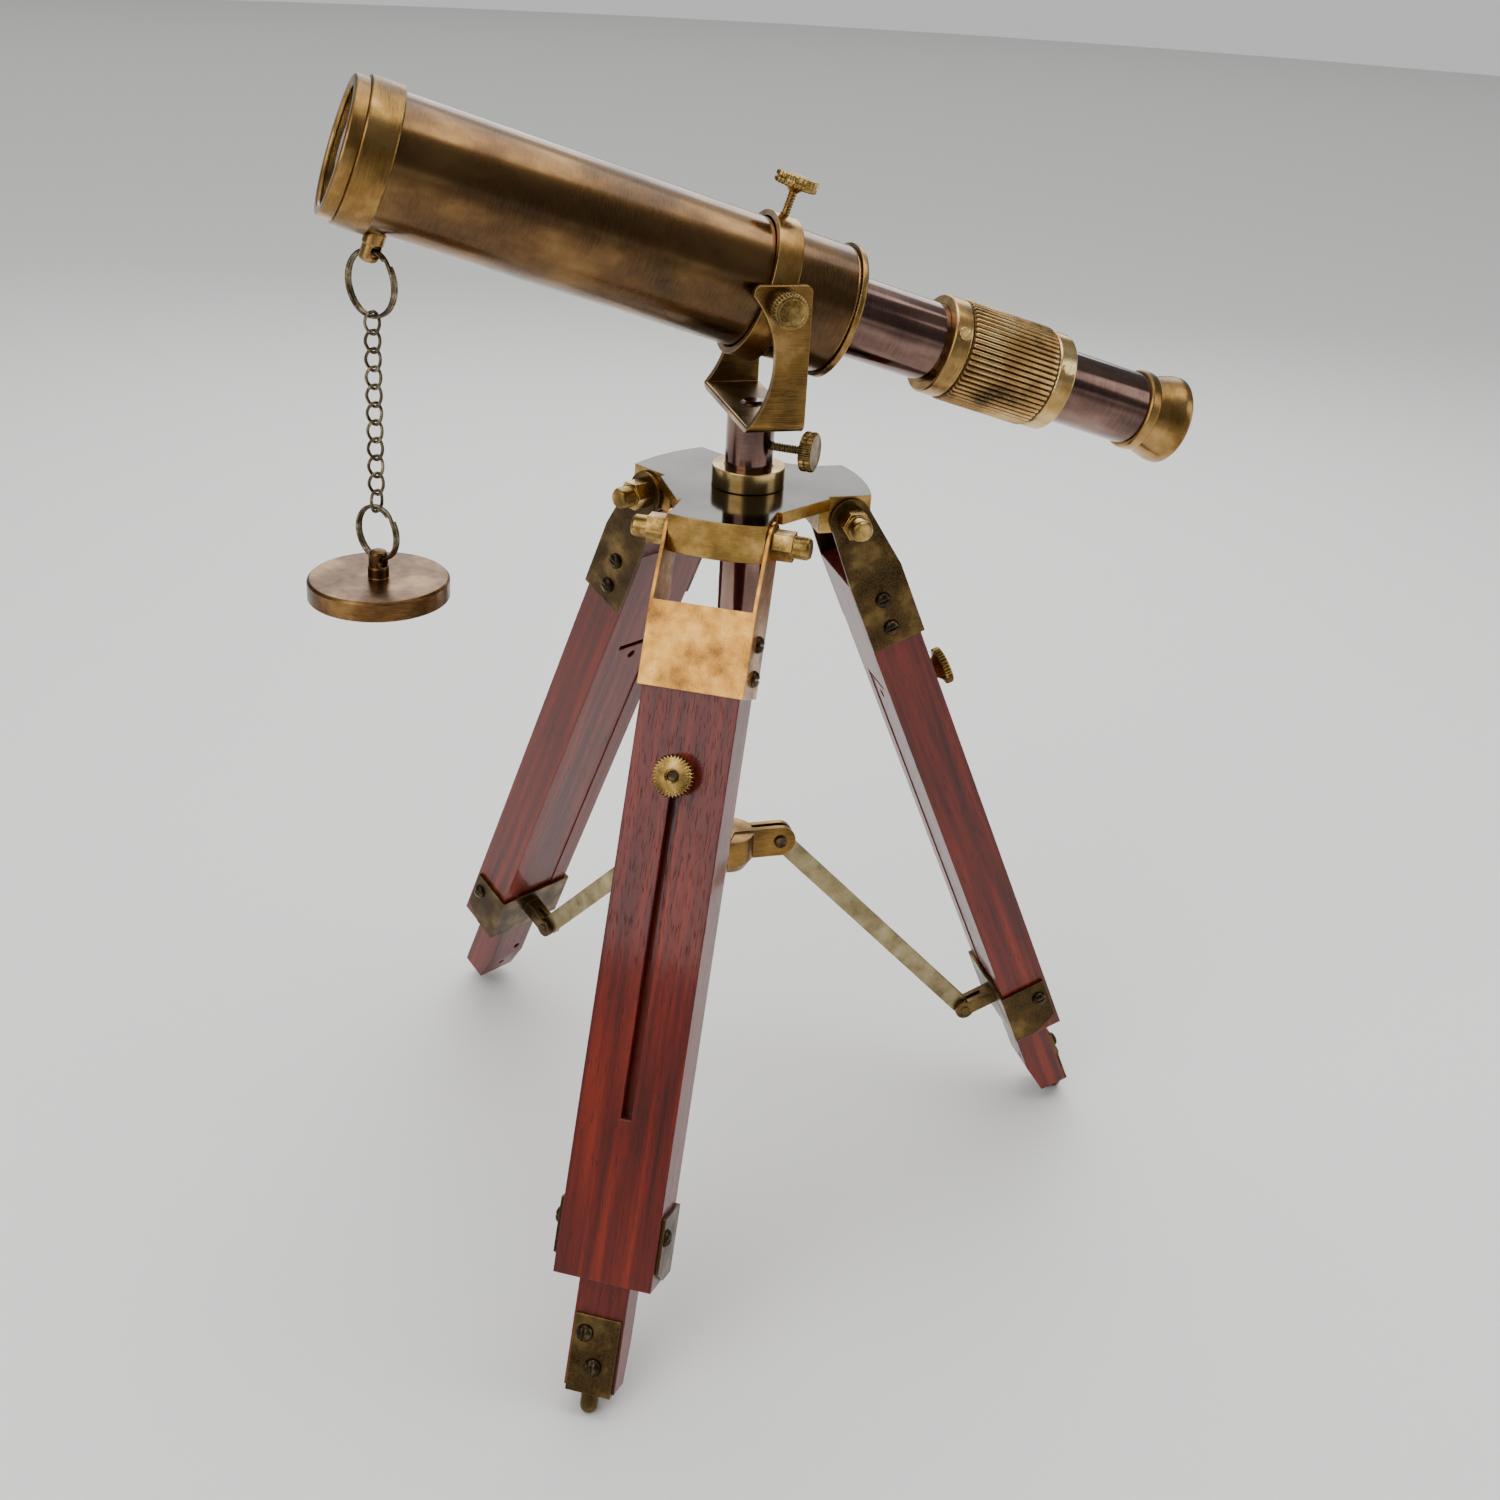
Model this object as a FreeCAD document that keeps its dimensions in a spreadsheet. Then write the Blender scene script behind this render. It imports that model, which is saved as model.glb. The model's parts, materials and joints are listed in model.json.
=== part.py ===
"""Table-top brass telescope on a folding wooden tripod, millimetres, +Z up.

The origin is the point of the ground plane under the column. The telescope points to -X and
slightly up, the three legs stand at 0, 120 and 240 degrees about Z.
"""
import FreeCAD, Part

import math
import os
import re

import Sketcher

from FreeCAD import Placement, Rotation, Vector

X_AXIS = Vector(1, 0, 0)
Y_AXIS = Vector(0, 1, 0)
Z_AXIS = Vector(0, 0, 1)
ORIGIN = Vector(0, 0, 0)

# Leg name and its direction about the column.
LEGS = {"right": 0.0, "left": 120.0, "front": 240.0}
CHAIN_LINKS = 11

SIZES = {
    # Tripod head: a plate with three lugs, the column through its middle.
    "hinge_height": 200.0,
    "hinge_reach": 24.5,
    "plate_rise": 6.3,
    "plate_thickness": 3.3,
    "lug_thickness": 9.9,
    "lug_width": 25.0,
    "lug_reach": 31.6,
    "lug_root": 16.0,
    "lug_face_radius": 45.0,
    "plate_waist": 21.2,
    "ear_notch_start": 18.2,
    "pivot_bolt_radius": 2.0,
    "acorn_flats": 7.0,
    "acorn_hex_length": 5.2,
    "acorn_cap_radius": 2.9,
    "acorn_cap_length": 4.2,
    # Column, its collar and the stem of the yoke.
    "column_radius": 6.25,
    "column_wall": 2.2,
    "column_rise": 20.0,
    "column_drop": 48.3,
    "collar_step": 3.25,
    "collar_height": 5.5,
    "stem_length": 52.0,
    "stem_head_radius": 3.2,
    "stem_head_height": 0.8,
    "stem_neck_radius": 2.4,
    "column_screw_drop": 8.8,
    "column_screw_turn": -35.0,
    # Yoke: a strap bent to a U, waisted on the objective side.
    "yoke_thickness": 1.8,
    "trunnion_boss_length": 1.65,
    "yoke_front": 7.3,
    "yoke_back": 7.3,
    "yoke_top_rise": 4.8,
    "yoke_waist_radius": 25.4,
    "yoke_waist_depth": 6.1,
    "yoke_corner_radius": 1.8,
    "yoke_bend_radius": 3.0,
    "trunnion_rise": 32.2,
    "tilt_angle": 18.0,
    # Cradle ring around the tube and the screws that hold and clamp it.
    "cradle_gap": 0.45,
    "cradle_wall": 1.6,
    "cradle_width": 6.6,
    "cradle_boss_radius": 3.6,
    "pivot_screw_radius": 1.5,
    "pivot_head_radius": 4.4,
    "pivot_head_length": 4.2,
    "pivot_neck_length": 3.2,
    "clamp_screw_radius": 1.2,
    "clamp_head_radius": 5.5,
    "clamp_head_length": 3.0,
    "clamp_thread_show": 6.8,
    "column_head_radius": 5.2,
    "column_head_length": 3.4,
    "column_thread_show": 8.2,
    "screw_neck_radius": 2.6,
    # Main tube and objective end; stations run from the trunnion towards the objective.
    "tube_radius": 16.5,
    "tube_wall": 1.0,
    "tube_front": 100.0,
    "tube_rear": -19.6,
    "end_ring_step": 1.0,
    "end_ring_flange": 2.4,
    "end_ring_length": 9.0,
    "front_collar_step": 1.2,
    "front_collar_rear": 95.9,
    "front_collar_length": 8.0,
    "bezel_step": 0.3,
    "bezel_show": 3.6,
    "bezel_wall": 2.6,
    "bezel_lip": 1.2,
    "objective_seat": 1.4,
    "objective_thickness": 5.0,
    "objective_curve": 60.0,
    # Cap, its chain and the two rings.
    "stud_station": 92.9,
    "stud_barrel_radius": 2.4,
    "stud_flange_radius": 2.65,
    "stud_flange_height": 2.6,
    "stud_length": 7.2,
    "stud_eye_drop": 4.5,
    "stud_eye_radius": 1.6,
    "ring_wire_radius": 0.5,
    "ring_wire_spread": 0.45,
    "upper_ring_radius": 7.9,
    "lower_ring_radius": 6.75,
    "ring_eye_lift": 0.37,
    "ring_turn": -52.0,
    "ring_link_gap": 0.2,
    "link_wire_radius": 0.43,
    "link_inside_length": 4.59,
    "link_inside_width": 2.6,
    "link_gap": 0.06,
    "cap_wall": 0.8,
    "cap_height": 5.2,
    "cap_top_thickness": 1.1,
    "cap_fit_gap": 0.1,
    # Draw tube, focusing sleeve and eyepiece.
    "draw_radius": 10.4,
    "draw_wall": 0.5,
    "draw_front": 26.0,
    "draw_fit_gap": 0.05,
    "focus_front": -49.7,
    "focus_collar_length": 5.4,
    "focus_collar_step": 2.7,
    "focus_sleeve_length": 26.0,
    "focus_sleeve_step": 3.1,
    "focus_play": 0.1,
    "groove_depth": 1.3,
    "groove_length": 13.0,
    "guide_pin_radius": 1.0,
    "guide_slot_travel": 4.6,
    "focus_sleeve_middle": -68.2,
    "eyepiece_wall": 0.7,
    "eyepiece_front": -60.0,
    "eyepiece_rear": -111.9,
    "eye_ring_radius": 10.9,
    "eye_ring_length": 3.4,
    "eye_cup_rear": -125.0,
    "eye_cup_neck": 9.7,
    "eye_cup_belly": 11.4,
    "eye_cup_rim": 12.0,
    "eye_hole_radius": 4.5,
    "eye_bowl_depth": 4.5,
    "field_lens_station": -72.0,
    "eye_lens_station": -117.0,
    "eyepiece_lens_thickness": 3.0,
    "eyepiece_lens_curve": 42.0,
    "erector_length": 9.0,
    "erector_lens_radius": 7.0,
    "erector_lens_thickness": 3.2,
    "erector_lens_curve": 20.0,
    # Legs; drops run from the hinge down the leg.
    "leg_angle": 23.5,
    "leg_width": 25.0,
    "leg_depth": 14.0,
    "leg_face": 7.5,
    "leg_top": 18.0,
    "leg_end": 184.5,
    "channel_top": 54.0,
    "channel_width": 13.2,
    "web_thickness": 3.5,
    "slot_width": 2.8,
    "slot_end": 144.5,
    "nut_drop": 59.5,
    "inner_leg_gap": 0.12,
    "inner_leg_depth": 10.1,
    "inner_leg_top": 56.0,
    "foot_pin_show": 4.4,
    "inner_leg_bevel": 5.0,
    "stud_radius": 1.25,
    "leg_nut_radius": 5.4,
    "leg_nut_neck": 2.3,
    "leg_nut_height": 6.2,
    "leg_nut_flange": 2.4,
    "leg_nut_gap": 0.05,
    # Leg strap, lower bracket and foot.
    "strap_thickness": 1.0,
    "strap_top": 17.6,
    "strap_end": 38.9,
    "ear_radius": 5.6,
    "ear_gap": 0.1,
    "bracket_thickness": 1.0,
    "bracket_top": 166.4,
    "bracket_end": 183.4,
    "bracket_drop": 173.2,
    "bracket_reach": 17.2,
    "clevis_radius": 2.9,
    "clevis_width": 4.7,
    "clevis_slot_start": 10.6,
    "post_height": 4.4,
    "rivet_radius": 1.3,
    "rivet_rise": 0.4,
    "foot_plate_length": 18.0,
    "foot_plate_width": 11.6,
    "foot_plate_thickness": 0.9,
    "foot_fold": 6.0,
    "foot_pin_radius": 2.2,
    "foot_pin_offset": 1.6,
    # Spreader: a floating hub and three flat braces.
    "hub_hang": 100.4,
    "hub_reach": 14.9,
    "hub_radius": 7.4,
    "hub_bottom_radius": 5.4,
    "hub_rise": 4.0,
    "hub_drop": 6.6,
    "hub_eye_radius": 4.5,
    "hub_cheek": 1.5,
    "brace_thickness": 1.3,
    "brace_height": 5.5,
    "brace_side_gap": 0.1,
    "hub_pin_radius": 1.2,
    "hub_pin_head_radius": 1.8,
    "hub_pin_head": 0.7,
    # Round-head slotted screws, shared by straps, brackets and feet.
    "screw_head_radius": 2.2,
    "screw_head_height": 1.5,
    "screw_slot_width": 0.6,
    "screw_slot_depth": 0.7,
    "screw_shank_radius": 1.0,
    "screw_shank_length": 5.0,
    "collar_screw_radius": 1.7,
    "collar_screw_head": 0.5,
    "collar_screw_seat": 0.02,
    "collar_screw_turn": -62.0,
    "running_gap": 0.05,
}

doc = FreeCAD.newDocument("Telescope")
sheet = doc.addObject("Spreadsheet::Sheet", "Sizes")
for row, (alias, number) in enumerate(SIZES.items(), start=1):
    sheet.set(f"A{row}", alias)
    sheet.set(f"B{row}", str(number))
    sheet.setAlias(f"B{row}", alias)
doc.recompute()

# Formulas that several pieces share, written in the sheet's size names.
PLATE_TOP = "(hinge_height + plate_rise)"
COLUMN_TOP = "(hinge_height + plate_rise + column_rise)"
COLUMN_BORE = "(column_radius - column_wall)"
STEM_RADIUS = "(column_radius - column_wall - running_gap)"
TRUNNION_HEIGHT = "(hinge_height + plate_rise + column_rise + trunnion_rise)"
YOKE_INSIDE = "(tube_radius + cradle_gap + cradle_wall + trunnion_boss_length)"
END_RING_RADIUS = "(tube_radius + end_ring_step)"
FRONT_COLLAR_RADIUS = "(tube_radius + front_collar_step)"
BEZEL_RADIUS = "(tube_radius + bezel_step)"
BEZEL_MOUTH = "(tube_radius + bezel_step - bezel_wall)"
OBJECTIVE_RADIUS = "(tube_radius - objective_seat)"
FOCUS_COLLAR_RADIUS = "(draw_radius + focus_collar_step)"
FOCUS_SLEEVE_RADIUS = "(draw_radius + focus_sleeve_step)"
HUB_HEIGHT = "(hinge_height - hub_hang)"
TRUNNION_RING = "(tube_radius + cradle_gap + cradle_wall)"
TUBE_BORE = "(tube_radius - tube_wall)"
LEG_BACK = "(leg_face - leg_depth)"
INNER_FACE = "(leg_face - web_thickness - inner_leg_gap)"
INNER_BACK = "(leg_face - web_thickness - inner_leg_gap - inner_leg_depth)"
LEG_OUTSIDE = "(leg_width + 2 * strap_thickness)"
FOOT_BALL = ("((hinge_height - foot_pin_radius + foot_pin_offset * sin(leg_angle * 1deg))"
             " / cos(leg_angle * 1deg))")
INNER_LEG_END = f"({FOOT_BALL} - foot_pin_show)"
FOOT_PLATE_TOP = f"({FOOT_BALL} - foot_pin_show - foot_plate_length)"
SLEEVE_FRONT = "(focus_front - focus_collar_length)"
SLEEVE_REAR = "(focus_front - focus_collar_length - focus_sleeve_length)"
FOCUS_REAR = "(focus_front - 2 * focus_collar_length - focus_sleeve_length)"
EYEPIECE_RADIUS = "(draw_radius - draw_wall - draw_fit_gap)"
CAP_BORE = f"({BEZEL_RADIUS} + cap_fit_gap)"
YOKE_BASE = f"({COLUMN_TOP} + running_gap)"
BRACE_SLOT = "(brace_thickness + 2 * brace_side_gap)"

nodes = {}


def in_cells(formula):
    """Point every size name of a formula at the sheet."""
    return re.sub(r"\b([a-z]+(?:_[a-z]+)+)\b", r"Sizes.\1", str(formula))


def size(formula):
    """Work out a formula of size names as a plain number."""
    result = sheet.evalExpression(in_cells(formula))
    return float(getattr(result, "Value", result))


def bind(item, **formulas):
    """Bind properties of an object to formulas of size names."""
    for name, formula in formulas.items():
        item.setExpression(name, in_cells(formula))
    return item


def keep(item, label, placement=None):
    """Give an object its node name and its place, and list it for export."""
    item.Label = label
    if placement is not None:
        item.Placement = placement
    nodes[label] = item
    return item


# ---- PartDesign helpers -------------------------------------------------------------------

def new_body(name):
    """Start an empty body."""
    return doc.addObject("PartDesign::Body", name + "_body")


def sketch_on(body, role, offset=None):
    """Attach an empty sketch to one of the body's own origin planes."""
    sketch = body.newObject("Sketcher::SketchObject", "Profile")
    plane = next(item for item in body.Origin.OriginFeatures if item.Role == role)
    sketch.AttachmentSupport = [(plane, "")]
    sketch.MapMode = "FlatFace"
    if offset is not None:
        sketch.setExpression("AttachmentOffset.Base.z", in_cells(offset))
    return sketch


def pin_point(sketch, geometry, position, across, along):
    """Hold one point of a sketch at formulas measured from the sketch's origin."""
    for kind, axis, formula in (("DistanceX", -2, across), ("DistanceY", -1, along)):
        number = size(formula)
        if abs(number) < 1e-9:
            sketch.addConstraint(Sketcher.Constraint("PointOnObject", geometry, position, axis))
            continue
        rule = sketch.addConstraint(
            Sketcher.Constraint(kind, -1, 1, geometry, position, number))
        sketch.setExpression(f"Constraints[{rule}]", in_cells(formula))


def draw_polygon(sketch, points):
    """Draw a closed polygon whose corners are (across, along) formulas."""
    corners = [Vector(size(across), size(along), 0) for across, along in points]
    first = sketch.GeometryCount
    count = len(corners)
    for index in range(count):
        sketch.addGeometry(Part.LineSegment(corners[index], corners[(index + 1) % count]))
    for index in range(count):
        after = first + (index + 1) % count
        sketch.addConstraint(Sketcher.Constraint("Coincident", first + index, 2, after, 1))
        pin_point(sketch, first + index, 1, *points[index])


def draw_circle(sketch, across, along, radius):
    """Draw a circle with a bound centre and radius."""
    centre = Vector(size(across), size(along), 0)
    index = sketch.addGeometry(Part.Circle(centre, Z_AXIS, size(radius)))
    pin_point(sketch, index, 3, across, along)
    rule = sketch.addConstraint(Sketcher.Constraint("Radius", index, size(radius)))
    sketch.setExpression(f"Constraints[{rule}]", in_cells(radius))


def rectangle(left, right, low, high):
    """Corners of a rectangle for draw_polygon."""
    return [(left, low), (right, low), (right, high), (left, high)]


def revolve(body, points):
    """Turn a (radius, height) outline about the body's Z axis."""
    sketch = sketch_on(body, "XZ_Plane")
    draw_polygon(sketch, points)
    turned = body.newObject("PartDesign::Revolution", "Turned")
    turned.Profile = sketch
    turned.ReferenceAxis = (sketch, ["V_Axis"])
    turned.Angle = 360
    return turned


def pad_across(body, points, width):
    """Pad an outline of the XZ plane to both sides of it."""
    sketch = sketch_on(body, "XZ_Plane")
    draw_polygon(sketch, points)
    return grow(body, sketch, width, both_sides=True)


def grow(body, sketch, length, both_sides=False, backwards=False):
    """Pad a sketch by a bound length."""
    pad = body.newObject("PartDesign::Pad", "Pad")
    pad.Profile = sketch
    pad.Midplane = both_sides
    pad.Reversed = backwards
    bind(pad, Length=length)
    return pad


def cut_across(body, sketch, width=None):
    """Pocket a sketch to both sides, through everything unless a width is given."""
    pocket = body.newObject("PartDesign::Pocket", "Pocket")
    pocket.Profile = sketch
    pocket.Midplane = True
    if width is None:
        pocket.Type = "ThroughAll"
    else:
        bind(pocket, Length=width)
    return pocket


def cut_outline(body, role, points, width=None):
    """Pocket a polygon of an origin plane to both sides of it."""
    sketch = sketch_on(body, role)
    draw_polygon(sketch, points)
    return cut_across(body, sketch, width)


def drill(body, role, holes, width=None):
    """Drill round holes given as (across, along, radius) to both sides of an origin plane."""
    sketch = sketch_on(body, role)
    for across, along, radius in holes:
        draw_circle(sketch, across, along, radius)
    return cut_across(body, sketch, width)


def turned_piece(label, points, placement):
    """Make a node that is one turned solid."""
    body = new_body(label)
    revolve(body, points)
    return keep(body, label, placement)


# ---- Part helpers -------------------------------------------------------------------------

def cylinder(name, radius, height, placement=None):
    """A bound Part cylinder that stands on its placement's origin."""
    item = doc.addObject("Part::Cylinder", name)
    bind(item, Radius=radius, Height=height)
    if placement is not None:
        item.Placement = placement
    return item


def boolean(kind, name, shapes):
    """Fuse or intersect several objects."""
    item = doc.addObject(kind, name)
    item.Shapes = shapes
    return item


def lens(label, radius, thickness, curve, placement):
    """A biconvex lens: two balls and a rim cylinder in common, centred on its placement."""
    balls = []
    for sign in ("", "-"):
        ball = bind(doc.addObject("Part::Sphere", label + "_ball"), Radius=curve)
        bind(ball, **{"Placement.Base.z": f"{sign}({curve} - {thickness} / 2)"})
        balls.append(ball)
    rim = cylinder(label + "_rim", radius, thickness)
    bind(rim, **{"Placement.Base.z": f"-{thickness} / 2"})
    return keep(boolean("Part::MultiCommon", label, balls + [rim]), label, placement)


def group(label, master, placements):
    """Copies of one piece as a group of separate solids."""
    doc.recompute()
    copies = []
    for placement in placements:
        solid = master.Shape.copy()
        solid.Placement = placement.multiply(solid.Placement)
        copies.append(solid)
    item = doc.addObject("Part::Feature", label)
    item.Shape = Part.makeCompound(copies)
    return keep(item, label)


def loop_wire(path, radius):
    """Sweep a round wire along a closed path."""
    start = path.Edges[0]
    section = Part.Wire(Part.makeCircle(radius, start.valueAt(start.FirstParameter),
                                        start.tangentAt(start.FirstParameter)))
    return path.makePipeShell([section], True, True)


# ---- Frames -------------------------------------------------------------------------------

def at_height(height):
    """A frame on the column axis."""
    return Placement(Vector(0, 0, size(height)), Rotation())


def leg_frame(name):
    """A leg's frame: X away from the column and square to the leg, Z up the leg."""
    turn = Placement(ORIGIN, Rotation(Z_AXIS, LEGS[name]))
    hinge = Placement(Vector(size("hinge_reach"), 0, size("hinge_height")),
                      Rotation(Y_AXIS, -size("leg_angle")))
    return turn.multiply(hinge)


# The telescope's frame: Z to the objective, X square to the tube and upwards.
OPTICAL = Placement(Vector(0, 0, size(TRUNNION_HEIGHT)),
                    Rotation(Y_AXIS, size("tilt_angle") - 90))


def optical(station):
    """The telescope's frame moved along the tube."""
    return OPTICAL.multiply(Placement(Vector(0, 0, size(station)), Rotation()))


def facing(direction, base):
    """A frame whose Z runs along a direction from a point."""
    return Placement(base, Rotation(Z_AXIS, direction))


# ---- Shared fasteners ---------------------------------------------------------------------

def round_head_screw():
    """A slotted round-head wood screw, its head's seat at the origin, head up."""
    body = new_body("round_head_screw")
    revolve(body, [
        ("0", "-screw_shank_length"),
        ("screw_shank_radius", "-screw_shank_length"),
        ("screw_shank_radius", "0"),
        ("screw_head_radius", "0"),
        ("screw_head_radius * 0.97", "screw_head_height * 0.3"),
        ("screw_head_radius * 0.8", "screw_head_height * 0.68"),
        ("screw_head_radius * 0.45", "screw_head_height * 0.93"),
        ("0", "screw_head_height"),
    ])
    cut_outline(body, "XZ_Plane", rectangle(
        "-2 * screw_head_radius", "2 * screw_head_radius",
        "screw_head_height - screw_slot_depth", "2 * screw_head_height"), "screw_slot_width")
    return body


def acorn_nut():
    """A hexagon nut with a smaller round cap, its seat at the origin, cap up."""
    hexagon = bind(doc.addObject("Part::Prism", "acorn_hexagon"),
                   Circumradius="acorn_flats / 2 / cos(30deg)", Height="acorn_hex_length")
    hexagon.Polygon = 6
    cap = new_body("acorn_cap")
    revolve(cap, [
        ("0", "acorn_hex_length"),
        ("acorn_cap_radius", "acorn_hex_length"),
        ("acorn_cap_radius", "acorn_hex_length + acorn_cap_length * 0.8"),
        ("acorn_cap_radius * 0.8", "acorn_hex_length + acorn_cap_length"),
        ("0", "acorn_hex_length + acorn_cap_length"),
    ])
    return boolean("Part::MultiFuse", "acorn_nut", [hexagon, cap])


# ---- Tripod head --------------------------------------------------------------------------

def top_plate():
    """The polished head plate: a waisted triangle on three thick lugs."""
    half = size("lug_width") / 2
    notch = size("ear_notch_start")
    reach = size("lug_reach")
    face = size("lug_face_radius")
    top = size(PLATE_TOP)
    thin = size("plate_thickness")
    thick = size("lug_thickness")
    waist = size("plate_waist")
    flank = (waist - notch * 0.5) / math.cos(math.radians(30))
    corner = reach - (face - math.sqrt(face ** 2 - half ** 2))
    rim = []
    for turn in LEGS.values():
        spin = Rotation(Z_AXIS, turn)
        rim.append([spin.multVec(Vector(*point, 0)) for point in (
            (notch, -flank), (notch, -half), (corner, -half), (reach, 0),
            (corner, half), (notch, half), (notch, flank))])
    edges = []
    for index, lobe in enumerate(rim):
        after = rim[(index + 1) % len(rim)]
        edges += [Part.makeLine(lobe[0], lobe[1]), Part.makeLine(lobe[1], lobe[2]),
                  Part.Arc(lobe[2], lobe[3], lobe[4]).toShape(),
                  Part.makeLine(lobe[4], lobe[5]), Part.makeLine(lobe[5], lobe[6]),
                  Part.makeLine(lobe[6], after[0])]
    slab = Part.Face(Part.Wire(edges)).extrude(Vector(0, 0, thin))
    slab.translate(Vector(0, 0, top - thin))
    lugs = []
    for turn in LEGS.values():
        root = size("lug_root")
        outline = [Vector(root, -half, 0), Vector(corner, -half, 0), Vector(reach, 0, 0),
                   Vector(corner, half, 0), Vector(root, half, 0)]
        wire = Part.Wire([Part.makeLine(outline[0], outline[1]),
                          Part.Arc(outline[1], outline[2], outline[3]).toShape(),
                          Part.makeLine(outline[3], outline[4]),
                          Part.makeLine(outline[4], outline[0])])
        lug = Part.Face(wire).extrude(Vector(0, 0, thick))
        lug.translate(Vector(0, 0, top - thick))
        bore = Part.makeCylinder(size("pivot_bolt_radius"), 4 * half,
                                 Vector(size("hinge_reach"), -2 * half, size("hinge_height")),
                                 Y_AXIS)
        lug = lug.cut(bore)
        lug.rotate(ORIGIN, Z_AXIS, turn)
        lugs.append(lug)
    shape = slab.fuse(lugs).cut(Part.makeCylinder(size("column_radius"), 4 * thick,
                                                  Vector(0, 0, top - 2 * thick)))
    item = doc.addObject("Part::Feature", "top_plate")
    item.Shape = shape.removeSplitter()
    keep(item, "top_plate")


def column_pieces():
    """The column tube, its collar on the plate and the thumbscrew that locks the stem."""
    column = new_body("column")
    revolve(column, rectangle(COLUMN_BORE, "column_radius", f"{PLATE_TOP} - column_drop",
                              COLUMN_TOP))
    across = facing(Rotation(Z_AXIS, size("column_screw_turn")).multVec(X_AXIS),
                    Vector(0, 0, size("(hinge_height + plate_rise + column_rise - column_screw_drop)")))
    hole = cylinder("column_screw_hole", "clamp_screw_radius + running_gap",
                    "2 * column_radius", across)
    drilled = doc.addObject("Part::Cut", "column")
    drilled.Base = column
    drilled.Tool = hole
    keep(drilled, "column")
    turned_piece("column_collar", rectangle("column_radius", "column_radius + collar_step", "0",
                                            "collar_height"), at_height(PLATE_TOP))
    thumbscrew("column_thumbscrew", "clamp_screw_radius", f"{STEM_RADIUS} + running_gap",
               "column_radius + column_thread_show", "column_head_radius",
               "column_head_length", across)


def thumbscrew(label, radius, tip, shoulder, head_radius, head_length, placement):
    """A thumbscrew along Z: thread from tip to shoulder, then a short cone and a disc head."""
    return turned_piece(label, [
        ("0", tip),
        (radius, tip),
        (radius, f"{shoulder} - 1.2"),
        ("screw_neck_radius", shoulder),
        (f"{head_radius} - 0.3", shoulder),
        (head_radius, f"{shoulder} + 0.3"),
        (head_radius, f"{shoulder} + {head_length} - 0.4"),
        (f"{head_radius} - 0.4", f"{shoulder} + {head_length}"),
        ("0", f"{shoulder} + {head_length}"),
    ], placement)


def leg_pivot_bolts():
    """Three bolts through the lugs, each with an acorn nut on both ends."""
    nut = acorn_nut()
    seat = size("leg_width / 2 + ear_gap + strap_thickness + running_gap")
    rod = cylinder("pivot_rod", "pivot_bolt_radius",
                   "2 * (leg_width / 2 + ear_gap + strap_thickness + running_gap)",
                   facing(Y_AXIS, Vector(0, -seat, 0)))
    ends = []
    for sign in (1, -1):
        end = nut if sign > 0 else acorn_nut()
        end.Placement = facing(Vector(0, sign, 0), Vector(0, sign * seat, 0))
        ends.append(end)
    bolt = boolean("Part::MultiFuse", "pivot_bolt", [rod] + ends)
    places = []
    for turn in LEGS.values():
        spin = Placement(ORIGIN, Rotation(Z_AXIS, turn))
        places.append(spin.multiply(
            Placement(Vector(size("hinge_reach"), 0, size("hinge_height")), Rotation())))
    group("leg_pivot_bolts", bolt, places)


# ---- Spreader -----------------------------------------------------------------------------

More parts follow.
